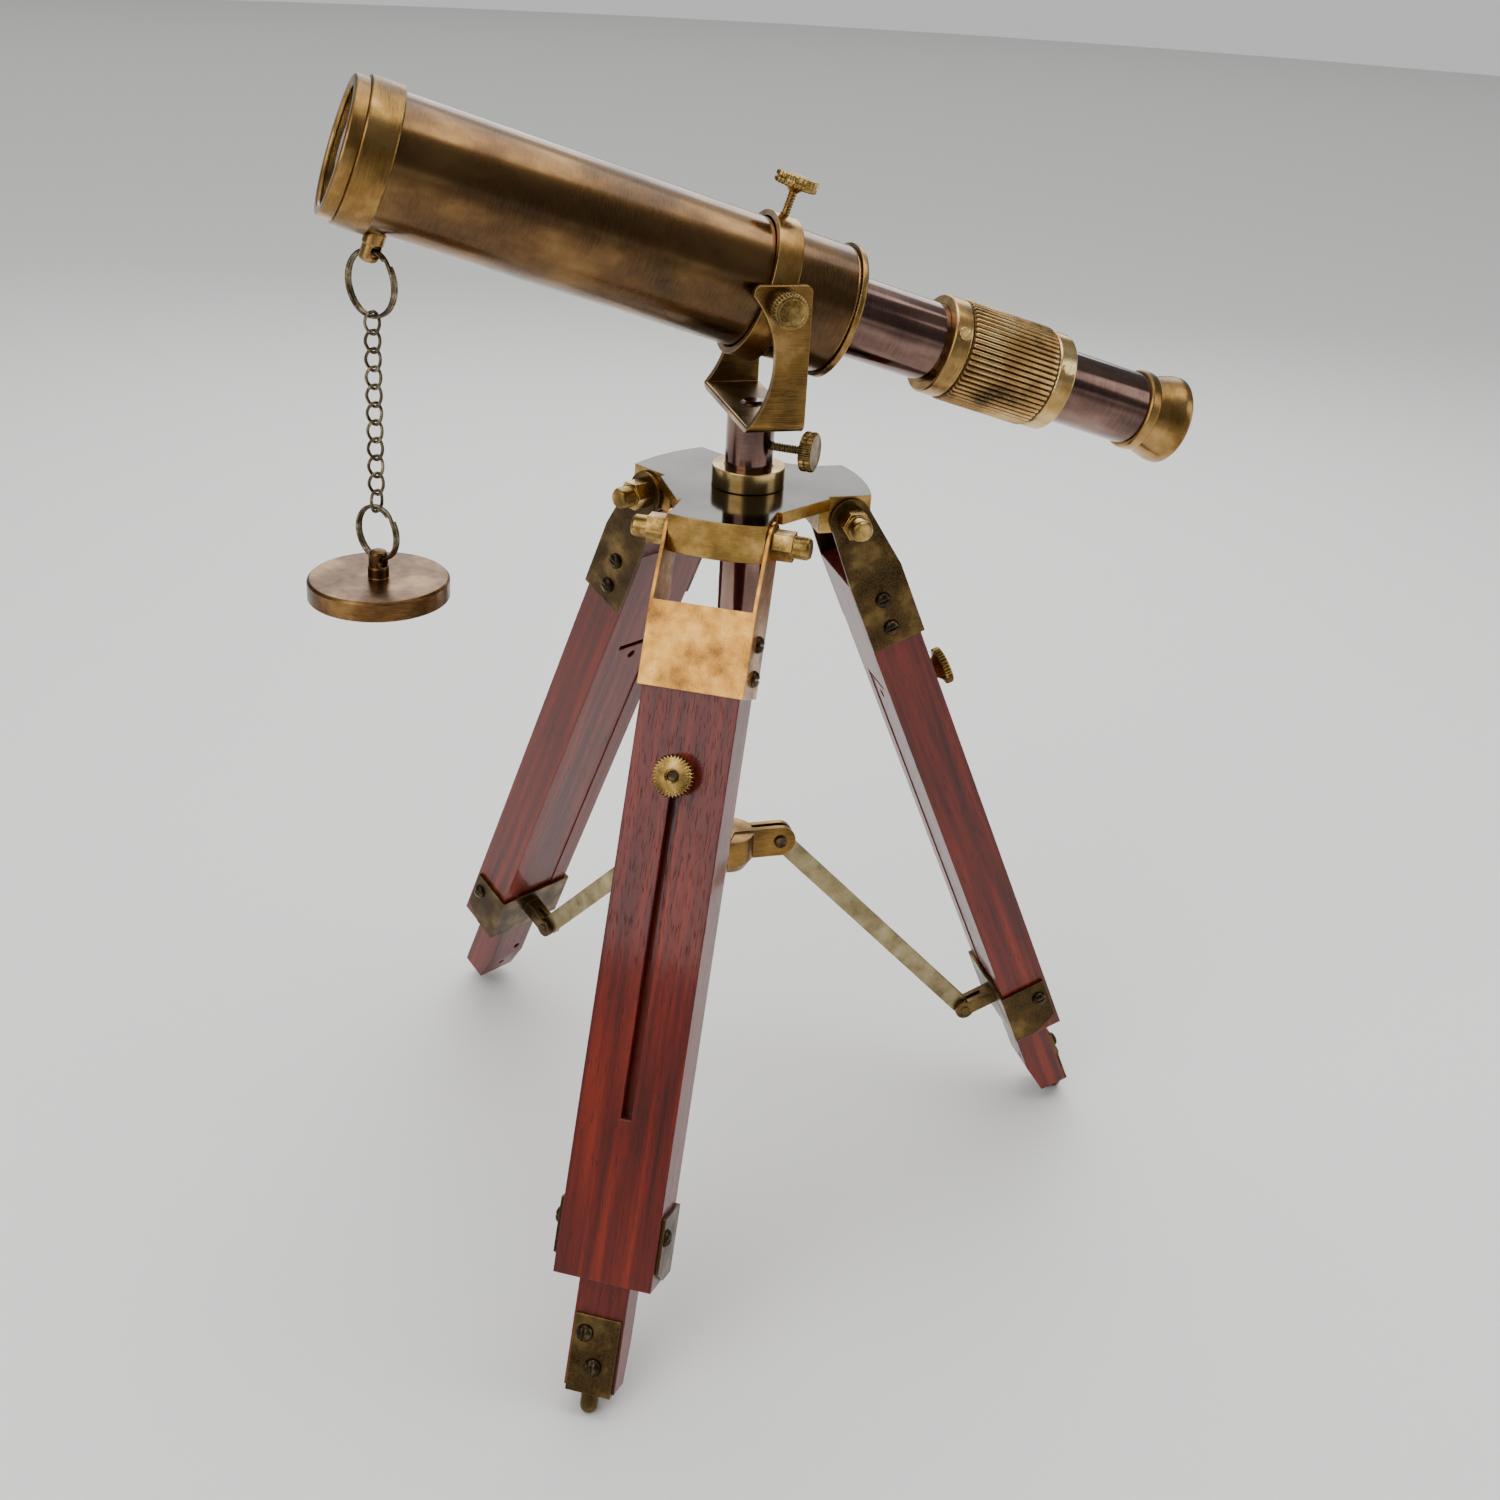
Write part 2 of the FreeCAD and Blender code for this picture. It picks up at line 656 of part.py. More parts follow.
def spreader():
    """The floating hub with its three forks, their pins and the three braces."""
    boss = new_body("hub_boss")
    revolve(boss, [
        ("0", f"{HUB_HEIGHT} - hub_drop"),
        ("hub_bottom_radius", f"{HUB_HEIGHT} - hub_drop"),
        ("hub_radius", f"{HUB_HEIGHT} - hub_drop / 2"),
        ("hub_radius", f"{HUB_HEIGHT} + hub_rise"),
        ("0", f"{HUB_HEIGHT} + hub_rise"),
    ])
    shapes = []
    fork_width = f"({BRACE_SLOT} + 2 * hub_cheek)"
    for name, turn in LEGS.items():
        fork = new_body("fork_" + name)
        pad_across(fork, rectangle("0", "hub_reach", f"{HUB_HEIGHT} - hub_eye_radius",
                                   f"{HUB_HEIGHT} + hub_eye_radius"), fork_width)
        eye = sketch_on(fork, "XZ_Plane")
        draw_circle(eye, "hub_reach", HUB_HEIGHT, "hub_eye_radius")
        grow(fork, eye, fork_width, both_sides=True)
        cut_outline(fork, "XZ_Plane", rectangle(
            "hub_radius * 0.9", "hub_reach + 2 * hub_eye_radius",
            f"{HUB_HEIGHT} - 2 * hub_eye_radius", f"{HUB_HEIGHT} + 2 * hub_eye_radius"), BRACE_SLOT)
        drill(fork, "XZ_Plane", [("hub_reach", HUB_HEIGHT, "hub_pin_radius")])
        fork.Placement = Placement(ORIGIN, Rotation(Z_AXIS, turn))
        shapes.append(fork)
    hub = boolean("Part::MultiFuse", "spreader_hub", [boss] + shapes)
    slots = []
    for turn in LEGS.values():
        slot = bind(doc.addObject("Part::Box", "hub_slot"), Length="hub_reach",
                    Width=BRACE_SLOT, Height="4 * hub_eye_radius")
        spin = Placement(ORIGIN, Rotation(Z_AXIS, turn))
        slot.Placement = spin.multiply(Placement(
            Vector(size("hub_reach - hub_eye_radius - 2"), -size(BRACE_SLOT) / 2,
                   size(f"{HUB_HEIGHT} - 2 * hub_eye_radius")), Rotation()))
        slots.append(slot)
    open_hub = doc.addObject("Part::Cut", "open_hub")
    open_hub.Base = hub
    open_hub.Tool = boolean("Part::MultiFuse", "hub_slots", slots)
    keep(open_hub, "spreader_hub")
    pin = new_body("hub_pin")
    side = f"({fork_width} / 2)"
    revolve(pin, [
        ("0", f"-{side} - hub_pin_head"),
        ("hub_pin_head_radius", f"-{side} - hub_pin_head"),
        ("hub_pin_head_radius", f"-{side}"),
        ("hub_pin_radius", f"-{side}"),
        ("hub_pin_radius", side),
        ("hub_pin_head_radius", side),
        ("hub_pin_head_radius", f"{side} + hub_pin_head"),
        ("0", f"{side} + hub_pin_head"),
    ])
    group("hub_pins", pin, [Placement(ORIGIN, Rotation(Z_AXIS, turn)).multiply(
        facing(Y_AXIS, Vector(size("hub_reach"), 0, size(HUB_HEIGHT))))
        for turn in LEGS.values()])
    for name, turn in LEGS.items():
        brace(name, turn)


def clevis_point():
    """Reach and height of the brace pivot on a leg, worked out from the leg's slope."""
    slope = math.radians(size("leg_angle"))
    drop = size("bracket_drop")
    inset = size("bracket_reach")
    reach = size("hinge_reach") + drop * math.sin(slope) - inset * math.cos(slope)
    height = size("hinge_height") - drop * math.cos(slope) - inset * math.sin(slope)
    return reach, height


def brace(name, turn):
    """A flat brace from the hub's fork to the clevis of a leg, round at both ends."""
    reach, height = clevis_point()
    fall = math.atan2(size(HUB_HEIGHT) - height, reach - size("hub_reach"))
    length = math.hypot(size(HUB_HEIGHT) - height, reach - size("hub_reach"))
    body = new_body("brace_" + name)
    half = "(brace_height / 2)"
    pad_across(body, rectangle("0", str(length), f"-{half}", half), "brace_thickness")
    ends = sketch_on(body, "XZ_Plane")
    draw_circle(ends, "0", "0", half)
    draw_circle(ends, str(length), "0", half)
    grow(body, ends, "brace_thickness", both_sides=True)
    drill(body, "XZ_Plane", [("0", "0", "hub_pin_radius + running_gap")])
    spin = Placement(ORIGIN, Rotation(Z_AXIS, turn))
    tip = Placement(Vector(size("hub_reach"), 0, size(HUB_HEIGHT)),
                    Rotation(Y_AXIS, math.degrees(fall)))
    keep(body, name + "_brace", spin.multiply(tip))


# ---- Legs ---------------------------------------------------------------------------------

# Wood screws of a leg as (offset from the hinge line, drop): two on the strap, one lower down.
LEG_SCREWS = [
    ("0.6", "(strap_top + 7.6)"),
    ("0.2", "(strap_top + 16.2)"),
    ("(leg_face - 4)", "(bracket_top + 5.4)"),
]
# Foot screws as (across, drop) on the outer face of the inner leg.
FOOT_SCREWS = [("-2.9", f"({FOOT_PLATE_TOP} + 4.4)"), ("0.4", f"({FOOT_PLATE_TOP} + 12.2)")]


def leg_screw_holes(body, count, first=0):
    """Drill the screw holes of a leg from one side to the other."""
    drill(body, "XZ_Plane", [(offset, f"-{drop}", "screw_shank_radius + running_gap")
                             for offset, drop in LEG_SCREWS[first:first + count]])


def outer_leg(name, frame):
    """The upper leg: solid at the top, a channel open to the back below, slotted in front."""
    body = new_body(name + "_outer_leg")
    pad_across(body, rectangle(LEG_BACK, "leg_face", "-leg_end", "-leg_top"), "leg_width")
    cut_outline(body, "XZ_Plane", rectangle(f"2 * {LEG_BACK}", "leg_face - web_thickness",
                                            "-leg_end * 1.1", "-channel_top"), "channel_width")
    cut_outline(body, "XZ_Plane", rectangle(LEG_BACK, "2 * leg_face", "-slot_end",
                                            "-nut_drop + slot_width / 2"), "slot_width")
    leg_screw_holes(body, 3)
    keep(body, name + "_outer_leg", frame)


def leg_strap(name, frame):
    """The folded strap: a front plate, two cheeks and the two ears on the hinge bolt."""
    body = new_body(name + "_leg_strap")
    front = "leg_face + strap_thickness"
    width = f"({LEG_OUTSIDE} + 2 * ear_gap)"
    pad_across(body, [(LEG_BACK, "-strap_end"), (front, "-strap_end"), (front, "-strap_top"),
                      ("ear_radius", "0"), ("-ear_radius", "0"), (LEG_BACK, "-strap_top")],
               width)
    ears = sketch_on(body, "XZ_Plane")
    draw_circle(ears, "0", "0", "ear_radius")
    grow(body, ears, width, both_sides=True)
    cut_outline(body, "XZ_Plane", [
        (f"2 * {LEG_BACK}", "-2 * strap_end"), ("leg_face", "-2 * strap_end"),
        ("leg_face", "-strap_top"), ("3 * leg_face", "-strap_top"),
        ("3 * leg_face", "2 * ear_radius"), (f"2 * {LEG_BACK}", "2 * ear_radius")],
        "leg_width + 2 * ear_gap")
    drill(body, "XZ_Plane", [("0", "0", "pivot_bolt_radius + running_gap")])
    leg_screw_holes(body, 2)
    keep(body, name + "_leg_strap", frame)


def leg_bracket(name, frame):
    """The lower bracket: sides and back of the leg's end, with the clevis for the brace."""
    body = new_body(name + "_leg_bracket")
    back = f"({LEG_BACK} - bracket_thickness)"
    pad_across(body, [(back, "-bracket_end"), ("0", "-bracket_end"),
                      ("leg_face - 1", "-bracket_end + 3.4"), ("leg_face - 1", "-bracket_top"),
                      (back, "-bracket_top")], "leg_width + 2 * bracket_thickness")
    cut_outline(body, "XZ_Plane", rectangle(LEG_BACK, "2 * leg_face", "-2 * bracket_end",
                                            "-bracket_top + 2"), "leg_width")
    pad_across(body, rectangle("-bracket_reach", f"{back} + bracket_thickness / 2",
                               "-bracket_drop - post_height / 2",
                               "-bracket_drop + post_height / 2"), "clevis_width")
    for radius, width in (("clevis_radius", "clevis_width"),
                          ("rivet_radius", "clevis_width + 2 * rivet_rise")):
        knuckle = sketch_on(body, "XZ_Plane")
        draw_circle(knuckle, "-bracket_reach", "-bracket_drop", radius)
        grow(body, knuckle, width, both_sides=True)
    cut_outline(body, "XZ_Plane", rectangle(
        "-bracket_reach - 2 * clevis_radius", "-clevis_slot_start",
        "-bracket_drop - 2 * clevis_radius", "-bracket_drop + 2 * clevis_radius"), BRACE_SLOT)
    leg_screw_holes(body, 1, first=2)
    keep(body, name + "_leg_bracket", frame)


def inner_leg(name, frame):
    """The lower leg that slides in the channel, bevelled behind its end."""
    body = new_body(name + "_inner_leg")
    pad_across(body, [
        (INNER_FACE, f"-{INNER_LEG_END}"), (INNER_FACE, "-inner_leg_top"),
        (INNER_BACK, "-inner_leg_top"), (INNER_BACK, f"-{INNER_LEG_END} + 2 * inner_leg_bevel"),
        (f"{INNER_BACK} + inner_leg_bevel * 0.4", f"-{INNER_LEG_END}"),
    ], "channel_width - 2 * inner_leg_gap")
    drill(body, "YZ_Plane", [("0", "-nut_drop", "stud_radius + running_gap")]
          + [(across, f"-{drop}", "screw_shank_radius + running_gap")
             for across, drop in FOOT_SCREWS])
    keep(body, name + "_inner_leg", frame)


def foot(name, frame):
    """The foot plate, folded under the end of the leg, with its round-nosed pin."""
    plate = new_body(name + "_foot_plate")
    skin = f"({INNER_FACE} + foot_plate_thickness)"
    pad_across(plate, [
        (INNER_FACE, f"-{FOOT_PLATE_TOP}"), (skin, f"-{FOOT_PLATE_TOP}"),
        (skin, f"-{INNER_LEG_END} - foot_plate_thickness"),
        (f"{INNER_FACE} - foot_fold", f"-{INNER_LEG_END} - foot_plate_thickness"),
        (f"{INNER_FACE} - foot_fold", f"-{INNER_LEG_END}"), (INNER_FACE, f"-{INNER_LEG_END}"),
    ], "foot_plate_width")
    drill(plate, "YZ_Plane", [(across, f"-{drop}", "screw_shank_radius + running_gap")
                              for across, drop in FOOT_SCREWS])
    ball_drop = size(FOOT_BALL)
    centre = Vector(size("foot_pin_offset"), 0, -ball_drop)
    pin = cylinder(name + "_foot_pin", "foot_pin_radius", f"{FOOT_BALL} - {INNER_LEG_END}",
                   Placement(centre, Rotation()))
    nose = bind(doc.addObject("Part::Sphere", name + "_foot_nose"), Radius="foot_pin_radius")
    nose.Placement = Placement(centre, Rotation())
    keep(boolean("Part::MultiFuse", name + "_foot", [plate, pin, nose]), name + "_foot", frame)


def leg_nut(name, frame):
    """The knurled thumb nut on the stud: a cone that widens to a domed flange."""
    seat = "(leg_face + leg_nut_gap)"
    rim = f"({seat} + leg_nut_height - leg_nut_flange)"
    turned_piece(name + "_leg_nut", [
        ("stud_radius + running_gap", seat),
        ("leg_nut_neck", seat),
        ("leg_nut_neck", f"{seat} + 0.9"),
        ("leg_nut_neck + 1.5", f"{seat} + 2"),
        ("leg_nut_radius - 0.8", rim),
        ("leg_nut_radius", f"{rim} + 0.4"),
        ("leg_nut_radius", f"{rim} + leg_nut_flange - 0.7"),
        ("leg_nut_radius - 1.4", f"{rim} + leg_nut_flange"),
        ("stud_radius + 0.6", f"{rim} + leg_nut_flange"),
        ("stud_radius + running_gap", f"{rim} + leg_nut_flange - 0.6"),
    ], frame.multiply(facing(X_AXIS, Vector(0, 0, -size("nut_drop")))))


def leg_fixings(name, frame, screw):
    """The wood screws of the leg, and the stud and foot screws of the inner leg."""
    side = size("leg_width / 2 + strap_thickness")
    places = []
    for index, (offset, drop) in enumerate(LEG_SCREWS):
        lift = size("ear_gap") if index < 2 else 0.0
        for sign in (1, -1):
            base = Vector(size(offset), sign * (side + lift), -size(drop))
            turned = facing(Vector(0, sign, 0), base)
            places.append(frame.multiply(turned))
    group(name + "_leg_screws", screw, places)
    face = size(f"{INNER_FACE} + foot_plate_thickness")
    doc.recompute()
    solids = []
    for across, drop in FOOT_SCREWS:
        solid = screw.Shape.copy()
        place = facing(X_AXIS, Vector(face, size(across), -size(drop)))
        solid.Placement = frame.multiply(place).multiply(solid.Placement)
        solids.append(solid)
    back = size(INNER_BACK) + 1.0
    stud = Part.makeCylinder(size("stud_radius"), size("leg_face + leg_nut_height") - back - 0.8,
                             Vector(back, 0, -size("nut_drop")), X_AXIS)
    stud.Placement = frame.multiply(stud.Placement)
    item = doc.addObject("Part::Feature", name + "_inner_leg_fixings")
    item.Shape = Part.makeCompound(solids + [stud])
    keep(item, name + "_inner_leg_fixings")


# ---- Yoke and cradle ----------------------------------------------------------------------

def yoke_pieces():
    """The bent yoke, waisted on the objective side, and the stem riveted to its base."""
    body = new_body("yoke")
    outside = f"({YOKE_INSIDE} + yoke_thickness)"
    top = f"({TRUNNION_HEIGHT} + yoke_top_rise)"
    sheet_plane = sketch_on(body, "YZ_Plane", "-yoke_front")
    draw_polygon(sheet_plane, [
        (f"-{outside}", YOKE_BASE), (outside, YOKE_BASE), (outside, top),
        (YOKE_INSIDE, top), (YOKE_INSIDE, f"{YOKE_BASE} + yoke_thickness"),
        (f"-{YOKE_INSIDE}", f"{YOKE_BASE} + yoke_thickness"), (f"-{YOKE_INSIDE}", top),
        (f"-{outside}", top)])
    grow(body, sheet_plane, "yoke_front + yoke_back")
    doc.recompute()
    round_edges(body, "yoke_bend_radius", lambda edge: is_along(edge, X_AXIS)
                and abs(edge.CenterOfMass.z - size(YOKE_BASE)) < 0.01
                and abs(abs(edge.CenterOfMass.y) - size(outside)) < 0.01)
    round_edges(body, "yoke_corner_radius", lambda edge: is_along(edge, Y_AXIS)
                and abs(edge.CenterOfMass.z - size(top)) < 0.01)
    middle = f"({YOKE_BASE} + ({TRUNNION_HEIGHT} + yoke_top_rise - {YOKE_BASE}) / 2 - 0.6)"
    waist = sketch_on(body, "XZ_Plane")
    draw_circle(waist, "-yoke_front + yoke_waist_depth - yoke_waist_radius", middle,
                "yoke_waist_radius")
    cut_across(body, waist)
    drill(body, "XZ_Plane", [("0", TRUNNION_HEIGHT, "pivot_screw_radius + running_gap")])
    hole = sketch_on(body, "XY_Plane", YOKE_BASE)
    draw_circle(hole, "0", "0", "stem_neck_radius + running_gap")
    cut_across(body, hole, "4 * yoke_thickness")
    keep(body, "yoke")
    base = size(YOKE_BASE)
    turned_piece("yoke_stem", [
        ("0", "-stem_length"),
        (STEM_RADIUS, "-stem_length"),
        (STEM_RADIUS, "-running_gap"),
        ("stem_neck_radius", "-running_gap"),
        ("stem_neck_radius", "yoke_thickness + running_gap"),
        ("stem_head_radius", "yoke_thickness + running_gap"),
        ("stem_head_radius * 0.7", "yoke_thickness + running_gap + stem_head_height"),
        ("0", "yoke_thickness + running_gap + stem_head_height"),
    ], Placement(Vector(0, 0, base), Rotation()))


def is_along(edge, axis):
    """True for a straight edge parallel to an axis."""
    return edge.Curve.TypeId == "Part::GeomLine" and abs(
        edge.tangentAt(edge.FirstParameter).dot(axis)) > 0.999


def round_edges(body, radius, wanted):
    """Fillet the edges of the body's last feature that a test picks."""
    last = body.Tip
    names = [f"Edge{number}" for number, edge in enumerate(last.Shape.Edges, start=1)
             if wanted(edge)]
    fillet = body.newObject("PartDesign::Fillet", "Fillet")
    fillet.Base = (last, names)
    bind(fillet, Radius=radius)
    doc.recompute()
    return fillet


def cradle_pieces():
    """The cradle ring with its trunnion bosses, and the three thumbscrews on it."""
    ring = new_body("cradle_ring")
    half = "(cradle_width / 2)"
    revolve(ring, rectangle("tube_radius + cradle_gap", TRUNNION_RING, f"-{half}", half))
    boss_end = f"({YOKE_INSIDE} - running_gap)"
    boss = cylinder("trunnion_bosses", "cradle_boss_radius", f"2 * {boss_end}",
                    facing(Y_AXIS, Vector(0, -size(boss_end), 0)))
    solid_ring = boolean("Part::MultiFuse", "cradle_blank", [ring, boss])
    bore = cylinder("cradle_bore", "tube_radius + cradle_gap", "4 * cradle_width",
                    Placement(Vector(0, 0, -2 * size("cradle_width")), Rotation()))
    threads = cylinder("trunnion_threads", "pivot_screw_radius + running_gap",
                       f"4 * {YOKE_INSIDE}", facing(Y_AXIS, Vector(0, -2 * size(YOKE_INSIDE), 0)))
    clamp_hole = cylinder("clamp_thread", "clamp_screw_radius + running_gap",
                          "2 * tube_radius", facing(X_AXIS, ORIGIN))
    cradle = doc.addObject("Part::Cut", "cradle_ring")
    cradle.Base = solid_ring
    cradle.Tool = boolean("Part::MultiFuse", "cradle_holes", [bore, threads, clamp_hole])
    keep(cradle, "cradle_ring", OPTICAL)
    for side, sign in (("near", -1), ("far", 1)):
        thumbscrew(f"{side}_pivot_thumbscrew", "pivot_screw_radius",
                   "tube_radius + 2 * cradle_gap",
                   f"{YOKE_INSIDE} + yoke_thickness + running_gap + pivot_neck_length",
                   "pivot_head_radius", "pivot_head_length",
                   OPTICAL.multiply(facing(Vector(0, sign, 0), ORIGIN)))
    thumbscrew("clamp_thumbscrew", "clamp_screw_radius", "tube_radius + running_gap",
               f"{TRUNNION_RING} + clamp_thread_show", "clamp_head_radius",
               "clamp_head_length", OPTICAL.multiply(facing(X_AXIS, ORIGIN)))


# ---- Telescope ----------------------------------------------------------------------------

def main_tube_pieces():
    """The main tube, its end ring with the draw tube's guide, and the objective end."""
    turned_piece("main_tube", rectangle(TUBE_BORE, "tube_radius", "tube_rear", "tube_front"),
                 OPTICAL)
    turned_piece("tube_end_ring", [
        ("draw_radius + draw_fit_gap", "tube_rear - end_ring_flange"),
        (f"{END_RING_RADIUS} - 0.4", "tube_rear - end_ring_flange"),
        (END_RING_RADIUS, "tube_rear - end_ring_flange + 0.4"),
        (END_RING_RADIUS, "tube_rear - 0.6"),
        ("tube_radius - 0.5", "tube_rear - 0.6"),
        ("tube_radius - 0.5", "tube_rear"),
        (TUBE_BORE, "tube_rear"),
        (TUBE_BORE, "tube_rear + end_ring_length"),
        ("draw_radius + draw_fit_gap", "tube_rear + end_ring_length"),
    ], OPTICAL)
    collar_front = "(front_collar_rear + front_collar_length)"
    turned_piece("objective_collar", [
        ("tube_radius", "front_collar_rear"),
        (f"{FRONT_COLLAR_RADIUS} - 0.3", "front_collar_rear"),
        (FRONT_COLLAR_RADIUS, "front_collar_rear + 0.3"),
        (FRONT_COLLAR_RADIUS, f"{collar_front} - 0.3"),
        (f"{FRONT_COLLAR_RADIUS} - 0.3", collar_front),
        (TUBE_BORE, collar_front),
        (TUBE_BORE, "tube_front"),
        ("tube_radius", "tube_front"),
    ], OPTICAL)
    bezel_front = f"({collar_front} + bezel_show)"
    lens_seat = f"({bezel_front} - bezel_lip)"
    turned_piece("objective_bezel", [
        (f"{OBJECTIVE_RADIUS} - 0.6", "tube_front"),
        (TUBE_BORE, "tube_front"),
        (TUBE_BORE, collar_front),
        (BEZEL_RADIUS, collar_front),
        (BEZEL_RADIUS, f"{bezel_front} - 0.5"),
        (f"{BEZEL_RADIUS} - 0.5", bezel_front),
        (f"{BEZEL_MOUTH} + 0.4", bezel_front),
        (BEZEL_MOUTH, f"{bezel_front} - 0.6"),
        (BEZEL_MOUTH, lens_seat),
        (f"{OBJECTIVE_RADIUS} + running_gap", lens_seat),
        (f"{OBJECTIVE_RADIUS} + running_gap", f"{lens_seat} - objective_thickness"),
        (f"{OBJECTIVE_RADIUS} - 0.6", f"{lens_seat} - objective_thickness"),
    ], OPTICAL)
    lens("objective_lens", OBJECTIVE_RADIUS, "objective_thickness", "objective_curve",
         optical(f"{lens_seat} - objective_thickness / 2"))


def draw_tube_pieces():
    """The draw tube with its erector, and the focusing sleeve between two collars."""
    body = new_body("draw_tube")
    bore = "(draw_radius - draw_wall)"
    revolve(body, rectangle(bore, "draw_radius", FOCUS_REAR, "draw_front"))
    slot = sketch_on(body, "YZ_Plane")
    reach = "(guide_pin_radius + running_gap + guide_slot_travel)"
    draw_polygon(slot, rectangle("-guide_pin_radius - running_gap",
                                 "guide_pin_radius + running_gap",
                                 f"focus_sleeve_middle - {reach}",
                                 f"focus_sleeve_middle + {reach}"))
    pocket = body.newObject("PartDesign::Pocket", "Guide_slot")
    pocket.Profile = slot
    pocket.Reversed = True
    bind(pocket, Length="2 * draw_radius")
    keep(body, "draw_tube", OPTICAL)
    for label, front in (("focus_front_collar", "focus_front"),
                         ("focus_rear_collar", SLEEVE_REAR)):
        rear = f"({front} - focus_collar_length)"
        ring = new_body(label)
        revolve(ring, [
            ("draw_radius", rear),
            (f"{FOCUS_COLLAR_RADIUS} - 0.4", rear),
            (FOCUS_COLLAR_RADIUS, f"{rear} + 0.4"),
            (FOCUS_COLLAR_RADIUS, f"{front} - 0.4"),
            (f"{FOCUS_COLLAR_RADIUS} - 0.4", front),
            ("draw_radius", front),
        ])
        keep(ring, label, OPTICAL)
    groove = "(draw_radius + running_gap + groove_depth)"
    half = "(groove_length / 2)"
    turned_piece("focus_sleeve", [
        ("draw_radius + running_gap", f"{SLEEVE_REAR} + focus_play"),
        (FOCUS_SLEEVE_RADIUS, f"{SLEEVE_REAR} + focus_play"),
        (FOCUS_SLEEVE_RADIUS, f"{SLEEVE_FRONT} - focus_play"),
        ("draw_radius + running_gap", f"{SLEEVE_FRONT} - focus_play"),
        ("draw_radius + running_gap", f"focus_sleeve_middle + {half}"),
        (groove, f"focus_sleeve_middle + {half}"),
        (groove, f"focus_sleeve_middle - {half}"),
        ("draw_radius + running_gap", f"focus_sleeve_middle - {half}"),
    ], OPTICAL)
    screw = turned_screw()
    middle = "focus_front - focus_collar_length / 2"
    places = []
    for station in (middle, f"{middle} - focus_collar_length - focus_sleeve_length"):
        around = Rotation(Z_AXIS, size("collar_screw_turn")).multVec(X_AXIS)
        base = Vector(0, 0, size(station)) + around * size(FOCUS_COLLAR_RADIUS)
        places.append(OPTICAL.multiply(facing(around, base)))
    group("focus_collar_screws", screw, places)
    turned_piece("erector_cell", [
        ("erector_lens_radius - 0.8", "draw_front - erector_length"),
        (bore, "draw_front - erector_length"),
        (bore, "draw_front"),
        ("erector_lens_radius + running_gap", "draw_front"),
        ("erector_lens_radius + running_gap", "draw_front - erector_length / 2"),
        ("erector_lens_radius - 0.8", "draw_front - erector_length / 2"),
    ], OPTICAL)
    lens("erector_lens", "erector_lens_radius", "erector_lens_thickness", "erector_lens_curve",
         optical("draw_front - erector_length / 2 + erector_lens_thickness / 2"))


def turned_screw():
    """The small cheese-head screw of a focus collar, its head standing on the collar."""
    body = new_body("collar_screw")
    revolve(body, rectangle("0", "collar_screw_radius", "collar_screw_seat", "collar_screw_head"))
    cut_outline(body, "XZ_Plane", rectangle(
        "-2 * collar_screw_radius", "2 * collar_screw_radius",
        "collar_screw_head / 2", "2 * collar_screw_head"), "screw_slot_width")
    return body


def eyepiece_pieces():
    """The eyepiece tube with its guide pin, its two lenses, the ring and the eye cup."""
    tube = new_body("eyepiece_tube")
    revolve(tube, rectangle(f"{EYEPIECE_RADIUS} - eyepiece_wall", EYEPIECE_RADIUS,
                            "eyepiece_rear", "eyepiece_front"))
    pin_end = "(draw_radius + groove_depth - 0.1)"
    pin = sketch_on(tube, "YZ_Plane", f"{EYEPIECE_RADIUS} - eyepiece_wall")
    draw_circle(pin, "0", "focus_sleeve_middle", "guide_pin_radius")
    grow(tube, pin, f"{pin_end} - {EYEPIECE_RADIUS} + eyepiece_wall")
    keep(tube, "eyepiece_tube", OPTICAL)
    ring_rear = "(eyepiece_rear - eye_ring_length)"
    turned_piece("eyepiece_ring", [
        (f"{EYEPIECE_RADIUS} - eyepiece_wall - 0.8", ring_rear),
        ("eye_ring_radius - 0.5", ring_rear),
        ("eye_ring_radius", f"{ring_rear} + 0.5"),
        ("eye_ring_radius", "eyepiece_rear - 0.5"),
        ("eye_ring_radius - 0.5", "eyepiece_rear"),
        (f"{EYEPIECE_RADIUS} - eyepiece_wall - 0.8", "eyepiece_rear"),
    ], OPTICAL)
    length = f"({ring_rear} - eye_cup_rear)"
    turned_piece("eye_cup", [
        ("eye_hole_radius", "eye_cup_rear + eye_bowl_depth"),
        ("eye_cup_rim - 2", "eye_cup_rear + 0.3"),
        ("eye_cup_rim - 0.8", "eye_cup_rear"),
        ("eye_cup_rim", "eye_cup_rear + 0.8"),
        ("eye_cup_rim - 0.1", f"eye_cup_rear + {length} * 0.3"),
        ("eye_cup_belly - 0.3", f"eye_cup_rear + {length} * 0.6"),
        ("eye_cup_neck + 0.6", f"eye_cup_rear + {length} * 0.84"),
        ("eye_cup_neck", ring_rear),
        ("eye_hole_radius + 3.3", ring_rear),
        ("eye_hole_radius + 3.3", "eye_lens_station - eyepiece_lens_thickness / 2"),
        ("eye_hole_radius", "eye_lens_station - eyepiece_lens_thickness / 2"),
    ], OPTICAL)
    lens_radius = f"({EYEPIECE_RADIUS} - eyepiece_wall - running_gap)"
    front = lens("field_lens", lens_radius, "eyepiece_lens_thickness", "eyepiece_lens_curve",
                 optical("field_lens_station"))
    back = lens("eye_lens", "eye_hole_radius + 3.2", "eyepiece_lens_thickness",
                "eyepiece_lens_curve", optical("eye_lens_station"))
    doc.recompute()
    pair = doc.addObject("Part::Feature", "eyepiece_lenses")
    pair.Shape = Part.makeCompound([front.Shape.copy(), back.Shape.copy()])
    del nodes["field_lens"]
    del nodes["eye_lens"]
    keep(pair, "eyepiece_lenses")


# ---- Cap and chain ------------------------------------------------------------------------

def across_ring():
    """The level direction in which the rings pass through their studs."""
    return Rotation(Z_AXIS, size("ring_turn")).multVec(X_AXIS)


